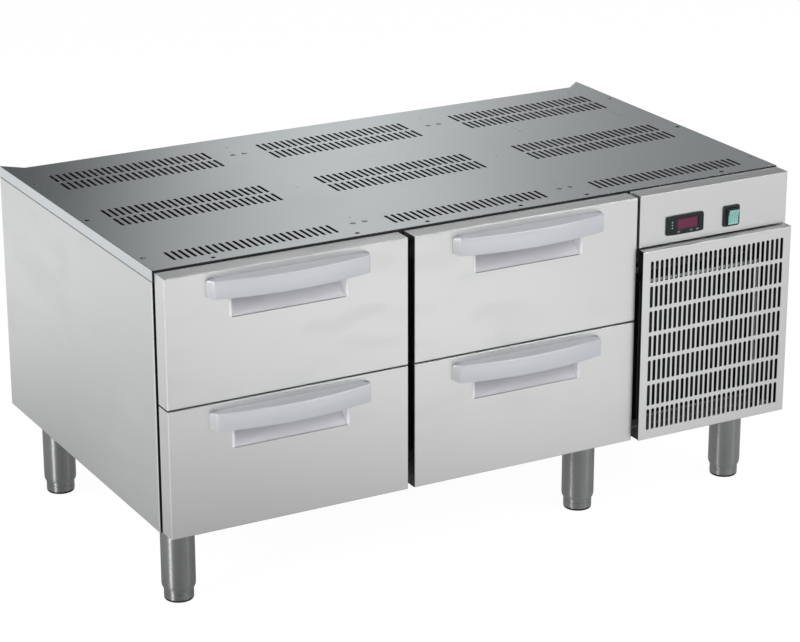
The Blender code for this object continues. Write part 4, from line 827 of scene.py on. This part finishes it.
def makeTopPlate(values):
    # The slotted face, an ear at each rear corner, the folded rim and the ribs
    low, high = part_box("top_plate")
    width, depth = high[0] - low[0], high[1] - low[1]
    radius, sheet, ear = values["bend"], values["sheet"], values["ear"]
    holes, screws = plateHoles(width, values)
    # The outline runs out into an ear at each rear corner; the top stops a bend's radius inside it
    line = depth - values["notch"]
    corners = np.array([(0, 0), (width, 0), (width, depth), (width - ear, line), (ear, line), (0, depth)], float)
    frontLeft, frontRight, tipRight, rootRight, rootLeft, tipLeft = corners - outwards(corners) * radius
    rear = rootRight[1]
    patches, linesU, linesV = sheetFace(frontLeft, [frontRight[0], rear], holes, sheet,
                                        spotsU=[rootRight[0], rootLeft[0]])
    # Each ear is a grid whose columns rise from the straight edge to the sloping one
    share = np.linspace(0, 1, values["earSteps"])[:, None]
    near = values["near"]
    for tip, root in ((tipLeft, rootLeft), (tipRight, rootRight)):
        side = np.sign(root[0] - tip[0])
        u = linesU[((linesU - tip[0]) * side >= -near) & ((root[0] - linesU) * side >= -near)]
        top = np.interp(u * side, [tip[0] * side, root[0] * side], [tip[1], rear])
        v = rear + (top - rear)[None] * share
        patches += [flatPatch(np.repeat(u[None], len(v), 0), v, deep) for deep in (0.0, sheet)]

    def between(start, end):
        # The grid's lines after one place and up to another, from the right to the left
        return linesU[(linesU > start + near) & (linesU <= end + near)][::-1]

    rising = share[:-1, 0]
    right, middle, left = (between(rootRight[0], np.inf), between(rootLeft[0], rootRight[0]),
                           between(tipLeft[0], rootLeft[0]))
    path = np.concatenate([
        columns(linesU[:-1], frontLeft[1]), columns(frontRight[0], linesV[:-1]),
        columns(tipRight[0], rear + (tipRight[1] - rear) * rising),
        columns(right, np.interp(right, [rootRight[0], tipRight[0]], [rear, tipRight[1]])), columns(middle, rear),
        columns(left, np.interp(left, [tipLeft[0], rootLeft[0]], [tipLeft[1], rootLeft[1]])),
        columns(tipLeft[0], tipLeft[1] + (rootLeft[1] - tipLeft[1]) * rising), columns(frontLeft[0], linesV[:0:-1])])
    patches.append(rimPatch(path, foldProfile(radius, values["rim"], sheet)))
    patches += [ribPatch(column, sheet, values["rib"]) for column in values["rib"]["at"]]
    at = (low[0], low[1], high[2])
    makePiece("topPlateSheet", patches, "up", at, "plateSheet", "root", ["top_plate"])
    makeScrews("topPlateScrews", "up", at, screws, values["screw"])


makeTopPlate(topPlate)
print("stage: top plate ready")


# Outer sheets: side panels, rear panel, control panel and slotted service panel

sidePanel = {"sheet": 0.0012, "bend": 0.0016, "reach": 0.0150}
rearPanel = {
    "sheet": 0.0012, "bend": 0.0016, "reach": 0.0075,
    "vents": 8, "vent": (0.230, 0.009), "ventPitch": 0.028, "ventLow": 0.230,
    "ventMargin": 0.004, "ventBetween": 0.001, "ventFlat": 1e-5,
    "gland": 0.0113, "glandPlace": (0.520, 0.187), "glandMargin": 0.004,
    "screw": {"radius": 0.0046, "rise": 0.0022, "socket": 0.0019, "deep": -0.0004, "root": 0.0002, "sunk": 0.0},
    "screwColumns": 6, "screwInset": 0.03, "screwRows": (0.012, 0.014),  # above the low edge, below the high one
}
controlPanel = {
    "sheet": 0.0012, "bend": 0.0017, "reach": 0.0381, "shortReach": 0.0331, "stepZ": 0.5797, "stepHalf": 0.0002,
    "openings": (((0.3838, 0.535), (0.0714, 0.0294), 0.003), ((0.4813, 0.5346), (0.0284, 0.0344), 0.0025)),
    "corner": 0.002, "lip": 0.0002,  # openings: place, size and margin of the controller's and the switch's
}
servicePanel = {
    "sheet": 0.0012, "bend": 0.0016, "reach": 0.0563, "columns": 28, "rows": 7, "first": (0.3075, 0.1915),
    "pitch": (0.0101, 0.04535), "slot": (0.005, 0.039), "slotEnd": 0.0025, "lip": (0.0006, 0.85),
    "flush": (0.0012, 0.0013),  # past the bend on the left, where the return stops
}


def makeRearPanel(values):
    # Vents behind the unit, one above the other, the cable gland's hole, and two rows of screws
    low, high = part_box("rear_panel")
    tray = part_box("unit_tray")
    middle = (tray[0][0] + tray[1][0]) / 2
    edge = lip(values["sheet"])
    half = [size / 2 for size in values["vent"]]
    margin = (values["ventMargin"], values["ventPitch"] / 2 - values["ventBetween"] - half[1])
    holes = [hole((middle, values["ventLow"] + row * values["ventPitch"]), half, half[1] - values["ventFlat"],
                  margin, edge) for row in range(values["vents"])]
    size, beyond = values["gland"], values["glandMargin"]
    holes.append(hole(values["glandPlace"], (size, size), size, (beyond, beyond), edge))
    makeFolded("rearSheet", "rear_panel", "back", "satinSheet", values, holes)
    inset, (up, down) = values["screwInset"], values["screwRows"]
    screws = [(u, v) for u in np.linspace(low[0] + inset, high[0] - inset, values["screwColumns"])
              for v in (low[2] + up, high[2] - down)]
    makeScrews("rearScrews", "back", (0, high[1], 0), screws, values["screw"])


def makeControlPanel(values):
    # Openings for the controller and the switch; the return is shorter above the step
    holes = [hole(place, [part / 2 for part in size], values["corner"], (margin, margin),
                  lip(values["sheet"], values["lip"])) for place, size, margin in values["openings"]]
    step, half = values["stepZ"], values["stepHalf"]
    makeFolded("controlSheet", "control_panel", "front", "satinControl", values, holes,
               spotsV=[step - half, step + half],
               limit=lambda path: np.where(path[:, 1] > step, values["shortReach"], values["reach"]))


def makeServicePanel(values):
    # Slots in rows and columns; the left edge has no return
    low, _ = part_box("grille_panel")
    half = [size / 2 for size in values["slot"]]
    margin = [pitch / 2 - size for pitch, size in zip(values["pitch"], half)]
    holes = []
    for row in range(values["rows"]):
        for column in range(values["columns"]):
            place = tuple(f + n * p for f, n, p in zip(values["first"], (column, row), values["pitch"]))
            holes.append(hole(place, half, values["slotEnd"], margin, lip(values["sheet"], *values["lip"])))
    spots = [low[0] + values["bend"] + flush for flush in values["flush"]]
    makeFolded("serviceSheet", "grille_panel", "front", "satinFront", values, holes, spotsU=spots,
               limit=lambda path: np.where(path[:, 0] < sum(spots) / 2, values["sheet"], values["reach"]))


for side in ("left", "right"):
    makeFolded(side + "SideSheet", side + "_side_panel", side, "satinSide", sidePanel)
makeRearPanel(rearPanel)
makeControlPanel(controlPanel)
makeServicePanel(servicePanel)
print("stage: outer sheets ready")


# The controller, the rocker switch, and the condenser's frame behind the slots

control = {
    "place": (0.3838, 0.5350), "half": (0.0385, 0.0175), "corner": 0.004, "front": -0.3325, "stand": 0.0034,
    "body": (0.0350, 0.0140), "bodyCorner": 0.002, "back": -0.2750, "round": 0.0016,
    # Growth and depth of the rings that round the face over to its rim
    "rings": ((-0.0011, 0.0), (-0.0007, 0.0002), (-0.0003, 0.0005), (-0.0001, 0.0009), (0.0, 0.0014)),
    "window": (0.0235, 0.0104), "windowAt": (0.0042, 0.0012), "windowDeep": 0.0010, "windowCorner": 0.002,
    "windowMargin": (0.0012, 0.0006), "windowLip": ((0.0003, 0.0), (0.0, 0.0003)),
    "keys": (1, 2, 3), "keyDeep": 0.0036, "keyGap": 0.0002, "keyCorner": 0.0006, "keyMargin": (0.0006, 0.0004),
    "display": (0.0205, 0.0088), "displayCorner": 0.0012,
    "displayRings": ((0.0, 0.0, 0.0006), (0.0002, 0.0002, 0.0003), (0.0002, 0.0002, 0.0001)),
    "marks": ((-0.0273, 0.0064), (-0.0273, 0.0012), (-0.0273, -0.0040)), "mark": (0.0011, 0.0009),
    "markCorner": 0.0004, "markRings": ((0.0, 0.0, -0.00005), (0.0001, 0.0001, 0.0)), "closing": (0.3, 0.0),
    "strokeSize": (0.0016, 0.0007), "strokeStand": 0.00008,
}
powerSwitch = {
    "place": (0.4813, 0.5346), "half": (0.0175, 0.0190), "corner": 0.004, "front": -0.3320, "stand": 0.0029,
    "opening": (0.0113, 0.0149), "openingCorner": 0.0012, "openingDeep": 0.0200,
    "body": (0.0138, 0.0168), "bodyCorner": 0.001, "back": -0.3025,
    # Growth, the corner's growth and depth: out of the opening, and over the face to the rim
    "openingRings": ((0.0, 0.0, 0.0006), (0.0005, 0.0004, 0.0)),
    "faceRings": ((-0.0022, -0.0012, 0.0), (-0.0008, -0.0004, 0.0004), (-0.0002, 0.0, 0.0011), (0.0, 0.0, 0.0019)),
    "flutes": 4, "lensInset": 0.0010, "lensLow": 0.0001, "lensHigh": 0.0012, "lensThick": 0.0002,
    # The rocker's faces from top to bottom, in y and z
    "rockerBend": ((-0.3390, 0.5466), (-0.3359, 0.5338), (-0.3358, 0.5206)),
}
condenser = {"low": (0.3300, 0.1680), "high": (0.5770, 0.4265), "width": 0.0055, "front": -0.2850, "deep": 0.0009}


def roundedLoop(half, corner, depth, at=(0.0, 0.0), steps=6):
    # A rounded rectangle in (u, v, depth), the same number of points whatever its size
    quarter = np.linspace(0, np.pi / 2, steps + 1)
    radius = min(corner, *half)
    points = []
    for turn, (sideU, sideV) in enumerate([(1, 1), (-1, 1), (-1, -1), (1, -1)]):
        angle = quarter + turn * np.pi / 2
        points.append(columns(at[0] + sideU * (half[0] - radius) + radius * np.cos(angle),
                              at[1] + sideV * (half[1] - radius) + radius * np.sin(angle)))
    return columns(np.concatenate(points), depth)


def grownLoops(half, corner, steps, at=(0.0, 0.0)):
    # Rounded rectangles grown by the first value of each step, their corners by the second, at its depth
    return [roundedLoop([size + grow for size in half], corner + turn, depth, at) for grow, turn, depth in steps]


def loft(loops):
    # Skins loops of equal count; the first and last close on their own middle line
    def middle(loop):
        low, high = loop.min(0), loop.max(0)
        slim = min(high[0] - low[0], high[1] - low[1]) / 2
        return np.clip(loop, low + (slim, slim, 0), high - (slim, slim, 0))
    return patch(np.stack([middle(loops[0])] + loops + [middle(loops[-1])]))


def roundedRing(path, half, corner, grow, depth):
    # Every point of a path goes to the nearest point of a rounded rectangle, grown by some distance
    spine = np.clip(path, -(np.array(half) - corner), np.array(half) - corner)
    return columns(spine + normalised(path - spine) * (corner + grow), depth)


def keyStroke(turn):
    # A generic arrow that points up or down, or a bar when it doesn't turn: outline and middle line
    if turn:
        outline = [(-1, -0.5), (0, 0.5), (1, -0.5), (1, 0.1), (0, 1.1), (-1, 0.1)]
        return np.array(outline), np.array([-0.2, 0.8, -0.2, -0.2, 0.8, -0.2])
    return np.array([(-1, -0.3), (0, -0.3), (1, -0.3), (1, 0.3), (0, 0.3), (-1, 0.3)]), 0.0


def makeController(values):
    # The bezel with a window and an opening for each key, the display, its marks and the keys' marks
    half, corner, stand = np.array(values["half"]), values["corner"], values["stand"]
    at, deep = values["windowAt"], values["windowDeep"]
    holes = [hole(at, values["window"], values["windowCorner"], values["windowMargin"],
                  [*values["windowLip"], (0.0, deep)], True)]
    keys = [(index, *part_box("controller_key_%d" % index)) for index in values["keys"]]
    for _, low, high in keys:
        middle = [(low[axis] + high[axis]) / 2 - place for axis, place in zip((0, 2), values["place"])]
        size = [(high[axis] - low[axis]) / 2 + values["keyGap"] for axis in (0, 2)]
        holes.append(hole(middle, size, values["keyCorner"], values["keyMargin"],
                          [(0.0, 0.0), (0.0, values["keyDeep"])], True))
    thick = values["back"] - values["front"]
    inner = half - values["round"]
    patches, linesU, linesV = sheetFace(-inner, inner, holes, thick, closed=True)
    path = boxPath(linesU, linesV)
    # The face rounds over to the rim, the rim stands off the panel, and the body runs back behind it
    rings = [columns(path, 0.0)]
    rings += [roundedRing(path, half, corner, *ring) for ring in (*values["rings"], (0.0, stand))]
    rings += [roundedRing(path, values["body"], values["bodyCorner"], 0.0, depth) for depth in (stand, thick)]
    rings += [columns(path * share, thick) for share in values["closing"]]
    patches[-1] = patch(np.stack(rings))
    at3 = (values["place"][0], values["front"], values["place"][1])
    makePiece("controllerBezel", patches, "front", at3, "blackPlastic", "root",
              ["controller_case"])
    rings = [(grow, turn, deep - stands) for grow, turn, stands in values["displayRings"]]
    glass = grownLoops(values["display"], values["displayCorner"], rings, at)
    makePiece("controllerDisplay", [loft(glass)], "front", at3, "displayGlass", "root")
    marks = [loft(grownLoops(values["mark"], values["markCorner"], values["markRings"], spot))
             for spot in values["marks"]]
    makePiece("controllerMarks", marks, "front", at3, "paleMark", "root")
    # The strokes on the keys ride on them
    wide, tall = values["strokeSize"]
    for (index, low, high), turn in zip(keys, (0, 1, -1)):
        outline, spine = keyStroke(turn)
        flat = outline * (wide, tall * (turn or 1))
        core = columns(flat[:, 0], spine * tall * turn)
        rows = ((core, -values["strokeStand"]), (flat, -values["strokeStand"]), (flat, 0.0), (core, 0.0))
        mark = patch(np.stack([columns(shape, depth) for shape, depth in rows]))
        middle = ((low[0] + high[0]) / 2, low[1], (low[2] + high[2]) / 2)
        makePiece("keyMark%d" % index, [mark], "front", middle, "paleMark", "controller_key_%d" % index)


def makeSwitch(values):
    # The frame round the rocker, rounded inside and outside, and the fluted lens over the rocker
    half, corner, stand = values["half"], values["corner"], values["stand"]
    loops = grownLoops(values["opening"], values["openingCorner"],
                       [(0.0, 0.0, values["openingDeep"]), *values["openingRings"]])
    loops += grownLoops(half, corner, [*values["faceRings"], (0.0, 0.0, stand)])
    loops += grownLoops(values["body"], values["bodyCorner"],
                        [(0.0, 0.0, stand), (0.0, 0.0, values["back"] - values["front"])])
    at3 = (values["place"][0], values["front"], values["place"][1])
    makePiece("switchBezel", [loft(loops)], "front", at3, "blackPlastic", "root",
              ["switch_frame"])
    # The lens follows the rocker's two faces; its height over them is a cosine across the flutes
    low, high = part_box("power_rocker")
    bend = np.array(values["rockerBend"])
    step = np.linspace(0, 1, 5)[:, None]
    line = np.concatenate([bend[0] * (1 - step) + bend[1] * step, (bend[1] * (1 - step) + bend[2] * step)[1:]])
    along = np.gradient(line, axis=0)
    away = np.stack([along[:, 1], -along[:, 0]], 1) / np.linalg.norm(along, axis=1, keepdims=True)
    u = np.linspace(low[0] + values["lensInset"], high[0] - values["lensInset"] * 0.5, 49)
    wave = 0.5 + 0.5 * np.cos(2 * np.pi * values["flutes"] * np.linspace(0, 1, len(u)))
    height = values["lensLow"] + (values["lensHigh"] - values["lensLow"]) * wave
    outer = line[None] + away[None] * height[:, None, None]
    inner = np.repeat((line - away * values["lensThick"])[None, ::-1], len(u), 0)
    flat = np.concatenate([outer, inner], 1)
    across = np.broadcast_to(u[:, None, None], flat.shape[:2] + (1,))
    skin = np.concatenate([across, flat[..., 1:], flat[..., :1]], -1)
    count = len(line)
    sides = [patch(np.stack([skin[end, :count], skin[end, :count - 1:-1]]), False) for end in (0, -1)]
    makePiece("rockerLens", [patch(skin)] + sides, "front", (0, 0, 0), "rockerPlastic", "power_rocker",
              sharp=70)


def makeCondenserFrame(values):
    # A flat frame round the coil's face, as a ring with a small thickness
    width, deep = values["width"], values["deep"]
    lines = [[low + width, (low + high) / 2, high - width] for low, high in zip(values["low"], values["high"])]
    path = boxPath(np.array(lines[0]), np.array(lines[1])[[0, 2]])
    ring = rimPatch(path, [(0, 0), (width, 0), (width, deep), (0, deep), (0, 0)])
    makePiece("condenserFrame", [ring], "front", (0, values["front"], 0), "zincSheet", "root")


makeController(control)
makeSwitch(powerSwitch)
makeCondenserFrame(condenser)
print("stage: controls ready")


# Bottom sheet with its leg tubes, and the adjustable feet

legs = {
    "columns": (-0.545, 0.237, 0.555), "rows": (-0.23565, 0.28335), "radius": 0.0288, "mouth": 0.0258,
    "sheetAt": 0.1515, "bottom": 0.0220, "taper": 0.0095, "sheet": 0.0012, "gap": 0.0001, "mouthLip": 0.0007,
    "mouthRound": 0.0008, "straight": 0.012, "topWall": 0.003,
    "footRadius": 0.0252, "footTop": 0.066, "footLip": 0.001, "footHeel": (0.97, 0.0006),
    "groove": (0.0145, 0.0150, 0.0158, 0.0163), "grooveDeep": 0.0005,
    # The sole as shares of the foot's radius, with heights from the floor and then down from its top
    "sole": 0.0042, "soleLower": ((0.86, 0.0), (0.95, 0.0007), (0.985, 0.0020)),
    "soleUpper": ((0.985, 0.0002), (0.93, 0.0)),
}


def legPlaces(values):
    # The name and place of each leg
    return [(row + "_" + column, (x, y, 0)) for y, row in zip(values["rows"], ("front", "rear"))
            for x, column in zip(values["columns"], ("left", "middle", "right"))]


def makeBase(values):
    # A flat sheet with a rim, and six tubes that narrow to their mouths
    low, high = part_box("bottom_and_legs")
    z = values["sheetAt"]
    lines = [np.array([low[axis], 0.0, high[axis]]) for axis in (0, 1)]
    atU, atV = np.meshgrid(*lines, indexing="ij")
    depths = (z, z + values["sheet"])
    patches = [flatPatch(atU, atV, deep) for deep in depths]
    patches.append(rimPatch(boxPath(*lines), [(0, deep) for deep in depths]))
    makePiece("baseSheet", patches, "down", (0, 0, 0), "satinSheet", "root", ["bottom_and_legs"])
    radius, mouth, bottom, taper = (values[key] for key in ("radius", "mouth", "bottom", "taper"))
    top, edge = z - values["gap"], mouth + values["mouthLip"]
    # The tube narrows to its mouth along a quarter of an ellipse
    curve = [(edge + (radius - edge) * math.cos(a), bottom + values["mouthRound"] + taper * (1 - math.sin(a)))
             for a in np.linspace(0, np.pi / 2, 8)]
    profile = [(0.0, top), (radius, top), (radius, bottom + taper + values["straight"])] + curve
    profile += [(edge, bottom), (mouth, bottom), (mouth, top - values["topWall"]), (0.0, top - values["topWall"])]
    for leg, at in legPlaces(values):
        makePiece("leg" + labelOf(leg), [turnedPatch(profile)], "down", at, "tubeSteel", "root",
                  ["bottom_and_legs"], sharp=40)


def makeFeet(values):
    # A turned steel foot with a fine groove, over a rubber sole; both ride on the foot's body
    radius, sole, top, edge = (values[key] for key in ("footRadius", "sole", "footTop", "footLip"))
    inner, (heel, rise) = radius - values["grooveDeep"], values["footHeel"]
    groove = zip((radius, inner, inner, radius), values["groove"])
    steel = [(0.0, sole), (radius * heel, sole), (radius, sole + rise), *groove, (radius, top - edge),
             (radius - edge, top), (0.0, top)]
    rubber = [(0.0, 0.0)] + [(radius * share, height) for share, height in values["soleLower"]]
    rubber += [(radius * share, sole - drop) for share, drop in values["soleUpper"]] + [(0.0, sole)]
    for leg, at in legPlaces(values):
        body = "foot_" + leg
        makePiece("foot" + labelOf(leg), [turnedPatch(steel)], "down", at, "tubeSteel", body, [body],
                  sharp=40)
        makePiece("sole" + labelOf(leg), [turnedPatch(rubber)], "down", at, "soleRubber", body, sharp=40)


makeBase(legs)
makeFeet(legs)
print("stage: base and feet ready")


# Drawers: fronts, gaskets and handles

drawerFront = {
    "bend": 0.0016, "reach": 0.0365, "groove": 0.00022, "grooveAt": (0.0004, 0.0006, 0.0010, 0.0012),
    "hem": 0.0008,
    "pocket": (0.1043, 0.0337), "pocketTop": 0.0482, "pocketDepth": 0.0343, "pocketCorner": 0.004,
    "pocketMargin": 0.006,
}
gasket = {"width": 0.011, "wave": 0.0009, "steps": 9}
handle = {
    "backHalf": 0.146, "frontHalf": 0.139, "stand": 0.016, "bow": 0.0172, "top": -0.0110, "bottom": -0.0420,
    "wall": 0.0035, "edge": 0.0024, "cornerRun": 0.0036, "endRound": 0.0030, "points": 49, "behind": -0.0003,
    "backRound": (0.0004, 0.0012), "strip": 0.0004, "rim": (0.001, 0.0006, 0.0008),
    "cupHalf": 0.102, "cupTop": -0.0170, "cupBottom": -0.0795, "cupDepth": 0.0318, "cupRise": 0.036, "cupWall": 0.002,
    "cupCurve": 1.25, "cupCorner": 0.0016, "cupCornerGrows": 0.005, "cupSteps": 14, "cupEnd": 0.012,
    "cupFace": -0.0002,
    "lip": 0.0045, "lipBelow": 0.0006, "lipStand": 0.0015, "lipInner": 0.0012,
    "lipRound": (0.6, 0.5, 0.7), "lipInnerRound": (0.3, 0.3),  # shares of lipStand and lipBelow
}


def makeDrawerFront(name, values):
    # A boxed front with a pocket behind the handle, round front edges and a hair line where the fold ends
    low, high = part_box(name + "_drawer_front")
    place = ((low[0] + high[0]) / 2, high[2] - values["pocketTop"])
    pocket = hole(place, values["pocket"], values["pocketCorner"], (values["pocketMargin"],) * 2,
                  [(0.0, 0.0), (0.0, values["pocketDepth"])], True)
    radius, groove, reach, hem = (values[key] for key in ("bend", "groove", "reach", "hem"))
    patches, linesU, linesV = sheetFace((low[0] + radius, low[2] + radius), (high[0] - radius, high[2] - radius),
                                        [pocket], reach, closed=True)
    line = zip((radius, radius - groove, radius - groove, radius), values["grooveAt"])
    profile = quarterRound(radius, 4) + [(offset, radius + past) for offset, past in line]
    profile += [(radius, reach - hem), (radius - hem, reach), (0.0, reach)]
    patches.append(rimPatch(boxPath(linesU, linesV), profile))
    makePiece("front" + labelOf(name), patches, "front", (0, low[1], 0), "satinFront", name + "_drawer",
              [name + "_drawer_front"])


def makeGasket(name, values):
    # A soft bellows profile carried round the opening: both its sides follow a cosine of two waves
    low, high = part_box(name + "_gasket")
    width, depth = values["width"], high[1] - low[1]
    lines = [np.array([low[axis] + width, (low[axis] + high[axis]) / 2, high[axis] - width]) for axis in (0, 2)]
    shares = np.linspace(0, 1, values["steps"])
    waves = [(values["wave"] * (1 - math.cos(4 * math.pi * share)), depth * share) for share in shares]
    outer = [(width - wave, deep) for wave, deep in waves]
    patches = [rimPatch(boxPath(*lines), outer + waves[::-1] + [outer[0]])]
    makePiece("gasket" + labelOf(name), patches, "front", (0, low[1], 0), "gasketRubber", name + "_drawer",
              [name + "_gasket"], sharp=60)


def handlePlan(values):
    # The bar seen from above as a closed path (anticlockwise in x, y): a front bowed as a parabola,
    # rounded corners, splayed ends and a straight back. Front and back points share their x
    half, end, stand, bow, run, behind = (
        values[key] for key in ("frontHalf", "backHalf", "stand", "bow", "cornerRun", "behind"))
    share = np.linspace(-1, 1, values["points"]) * (1 - run / half)
    front = np.stack([half * share, -stand - bow * (1 - share ** 2)], 1)
    corner = np.array([half, -stand])
    after = np.array([half + (end - half) * run / stand, -stand + run])
    t = np.linspace(0, 1, 7)[1:, None]
    arc = front[-1] * (1 - t) ** 2 + corner * 2 * t * (1 - t) + after * t ** 2
    inset, ahead = values["backRound"]
    rightEnd = np.concatenate([arc, [[end - inset, -ahead], [end, behind]]])
    back = columns(front[::-1, 0], behind)
    return np.concatenate([front, rightEnd, back, rightEnd[::-1] * (-1, 1)]), len(front), len(rightEnd)


def handleBar(values):
    # The bowed bar, hollow underneath: rings from its top's middle line, over the edge and down the
    # front, round the lower rim and up inside
    path, count, ends = handlePlan(values)
    away = outwards(path)
    edge, wall, over = values["edge"], values["wall"], values["endRound"]
    isBack = np.zeros(len(path), bool)
    isBack[count + ends:2 * count + ends] = True
    # Towards its ends the bar's top comes down and its underside comes up, as a quarter round
    past = np.clip(np.abs(path[:, 0]) - (values["backHalf"] - over), 0, over)
    drop = over - np.sqrt(over ** 2 - past ** 2)
    top = values["top"] - drop
    bottom = np.minimum(np.where(isBack, values["top"] - wall, values["bottom"] + drop), top - wall)
    spineX = np.clip(path[:, 0], path[:count, 0].min(), path[:count, 0].max())
    spine = columns(spineX, np.interp(spineX, path[:count, 0], path[:count, 1]) / 2)
    slim = np.where(isBack, 0.0, 1.0)

    def ring(offset, z):
        return columns(path - away * (offset * slim)[:, None], z)

    # The second row is a narrow flat strip, which keeps the top's shading flat beside the round edge
    rise, outside, inside = values["rim"]
    rows = [columns(spine, values["top"]), ring(edge + values["strip"], top)]
    for angle in np.linspace(0, np.pi / 2, 6):
        rows.append(ring(edge * (1 - math.sin(angle)), top - edge * (1 - math.cos(angle)) * slim))
    rows += [ring(0.0, np.minimum(bottom + rise, top - rise)), ring(outside, bottom), ring(wall - inside, bottom),
             ring(wall, bottom + outside * slim), ring(wall, np.minimum(top - wall, values["top"] - wall)),
             columns(spine, values["top"] - wall)]
    return patch(np.stack(rows))


def handleScoop(values):
    # The scoop: a rounded rectangle whose lower edge climbs as it goes back, by a power of the depth
    deepest, wall, corner = values["cupDepth"], values["cupWall"], values["cupCorner"]
    bottom, face, stand = values["cupBottom"], values["cupFace"], values["lipStand"]
    shares = np.linspace(0, 1, values["cupSteps"])[1:]

    def section(lowZ, growX, growZ, depth, radius=corner):
        halfX, highZ = values["cupHalf"] + growX, values["cupTop"] + growZ
        halfZ = (highZ - lowZ + growZ) / 2
        return roundedLoop((halfX, halfZ), radius, depth, (0.0, highZ - halfZ))[:, [0, 2, 1]]

    def deeper(share, grow, raised, depth):
        floor = bottom + values["cupRise"] * share ** values["cupCurve"] - grow
        return section(floor, grow, raised, depth, corner + values["cupCornerGrows"] * share)

    lip, below = values["lip"], values["lipBelow"]
    up, turn, drop = values["lipRound"]
    innerDrop, innerUp = values["lipInnerRound"]
    rims = ((lip, below, face), (lip, below, face - stand * up), (lip - stand * turn, below * drop, face - stand),
            (values["lipInner"], below * innerDrop, face - stand), (0.0, 0.0, face - stand * innerUp))
    cup = [section(bottom, *rim) for rim in rims]
    cup += [deeper(share, 0.0, 0.0, deepest * share) for share in shares]
    last, inner = cup[-1], values["cupHalf"] - values["cupEnd"]
    spine = columns(np.clip(last[:, 0], -inner, inner), last[:, 1], (last[:, 2].max() + last[:, 2].min()) / 2)
    cup += [spine, spine + np.array([0, wall, 0])]
    # The outer skin of the scoop, one wall's thickness away, back to the lip
    cup += [deeper(share, wall, wall * 0.5, deepest * share + wall * share) for share in shares[::-1]]
    return patch(np.stack(cup + [section(bottom, wall, 0.0, face), cup[0]]))


def makeHandle(name, values):
    # Bar and scoop of a handle, from the middle of the front's top edge
    low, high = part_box(name + "_drawer_front")
    origin = np.array([(low[0] + high[0]) / 2, low[1], high[2]])
    for label, shape, finish in (("handle", handleBar(values), "silverPlastic"),
                                 ("scoop", handleScoop(values), "litCupPlastic")):
        makePiece(label + labelOf(name), [shape], "down", origin, finish, name + "_drawer",
                  [name + "_handle"], sharp=50)


for drawerName in ("left_lower", "left_upper", "right_lower", "right_upper"):
    makeDrawerFront(drawerName, drawerFront)
    makeGasket(drawerName, gasket)
    makeHandle(drawerName, handle)
print("stage: drawers ready")
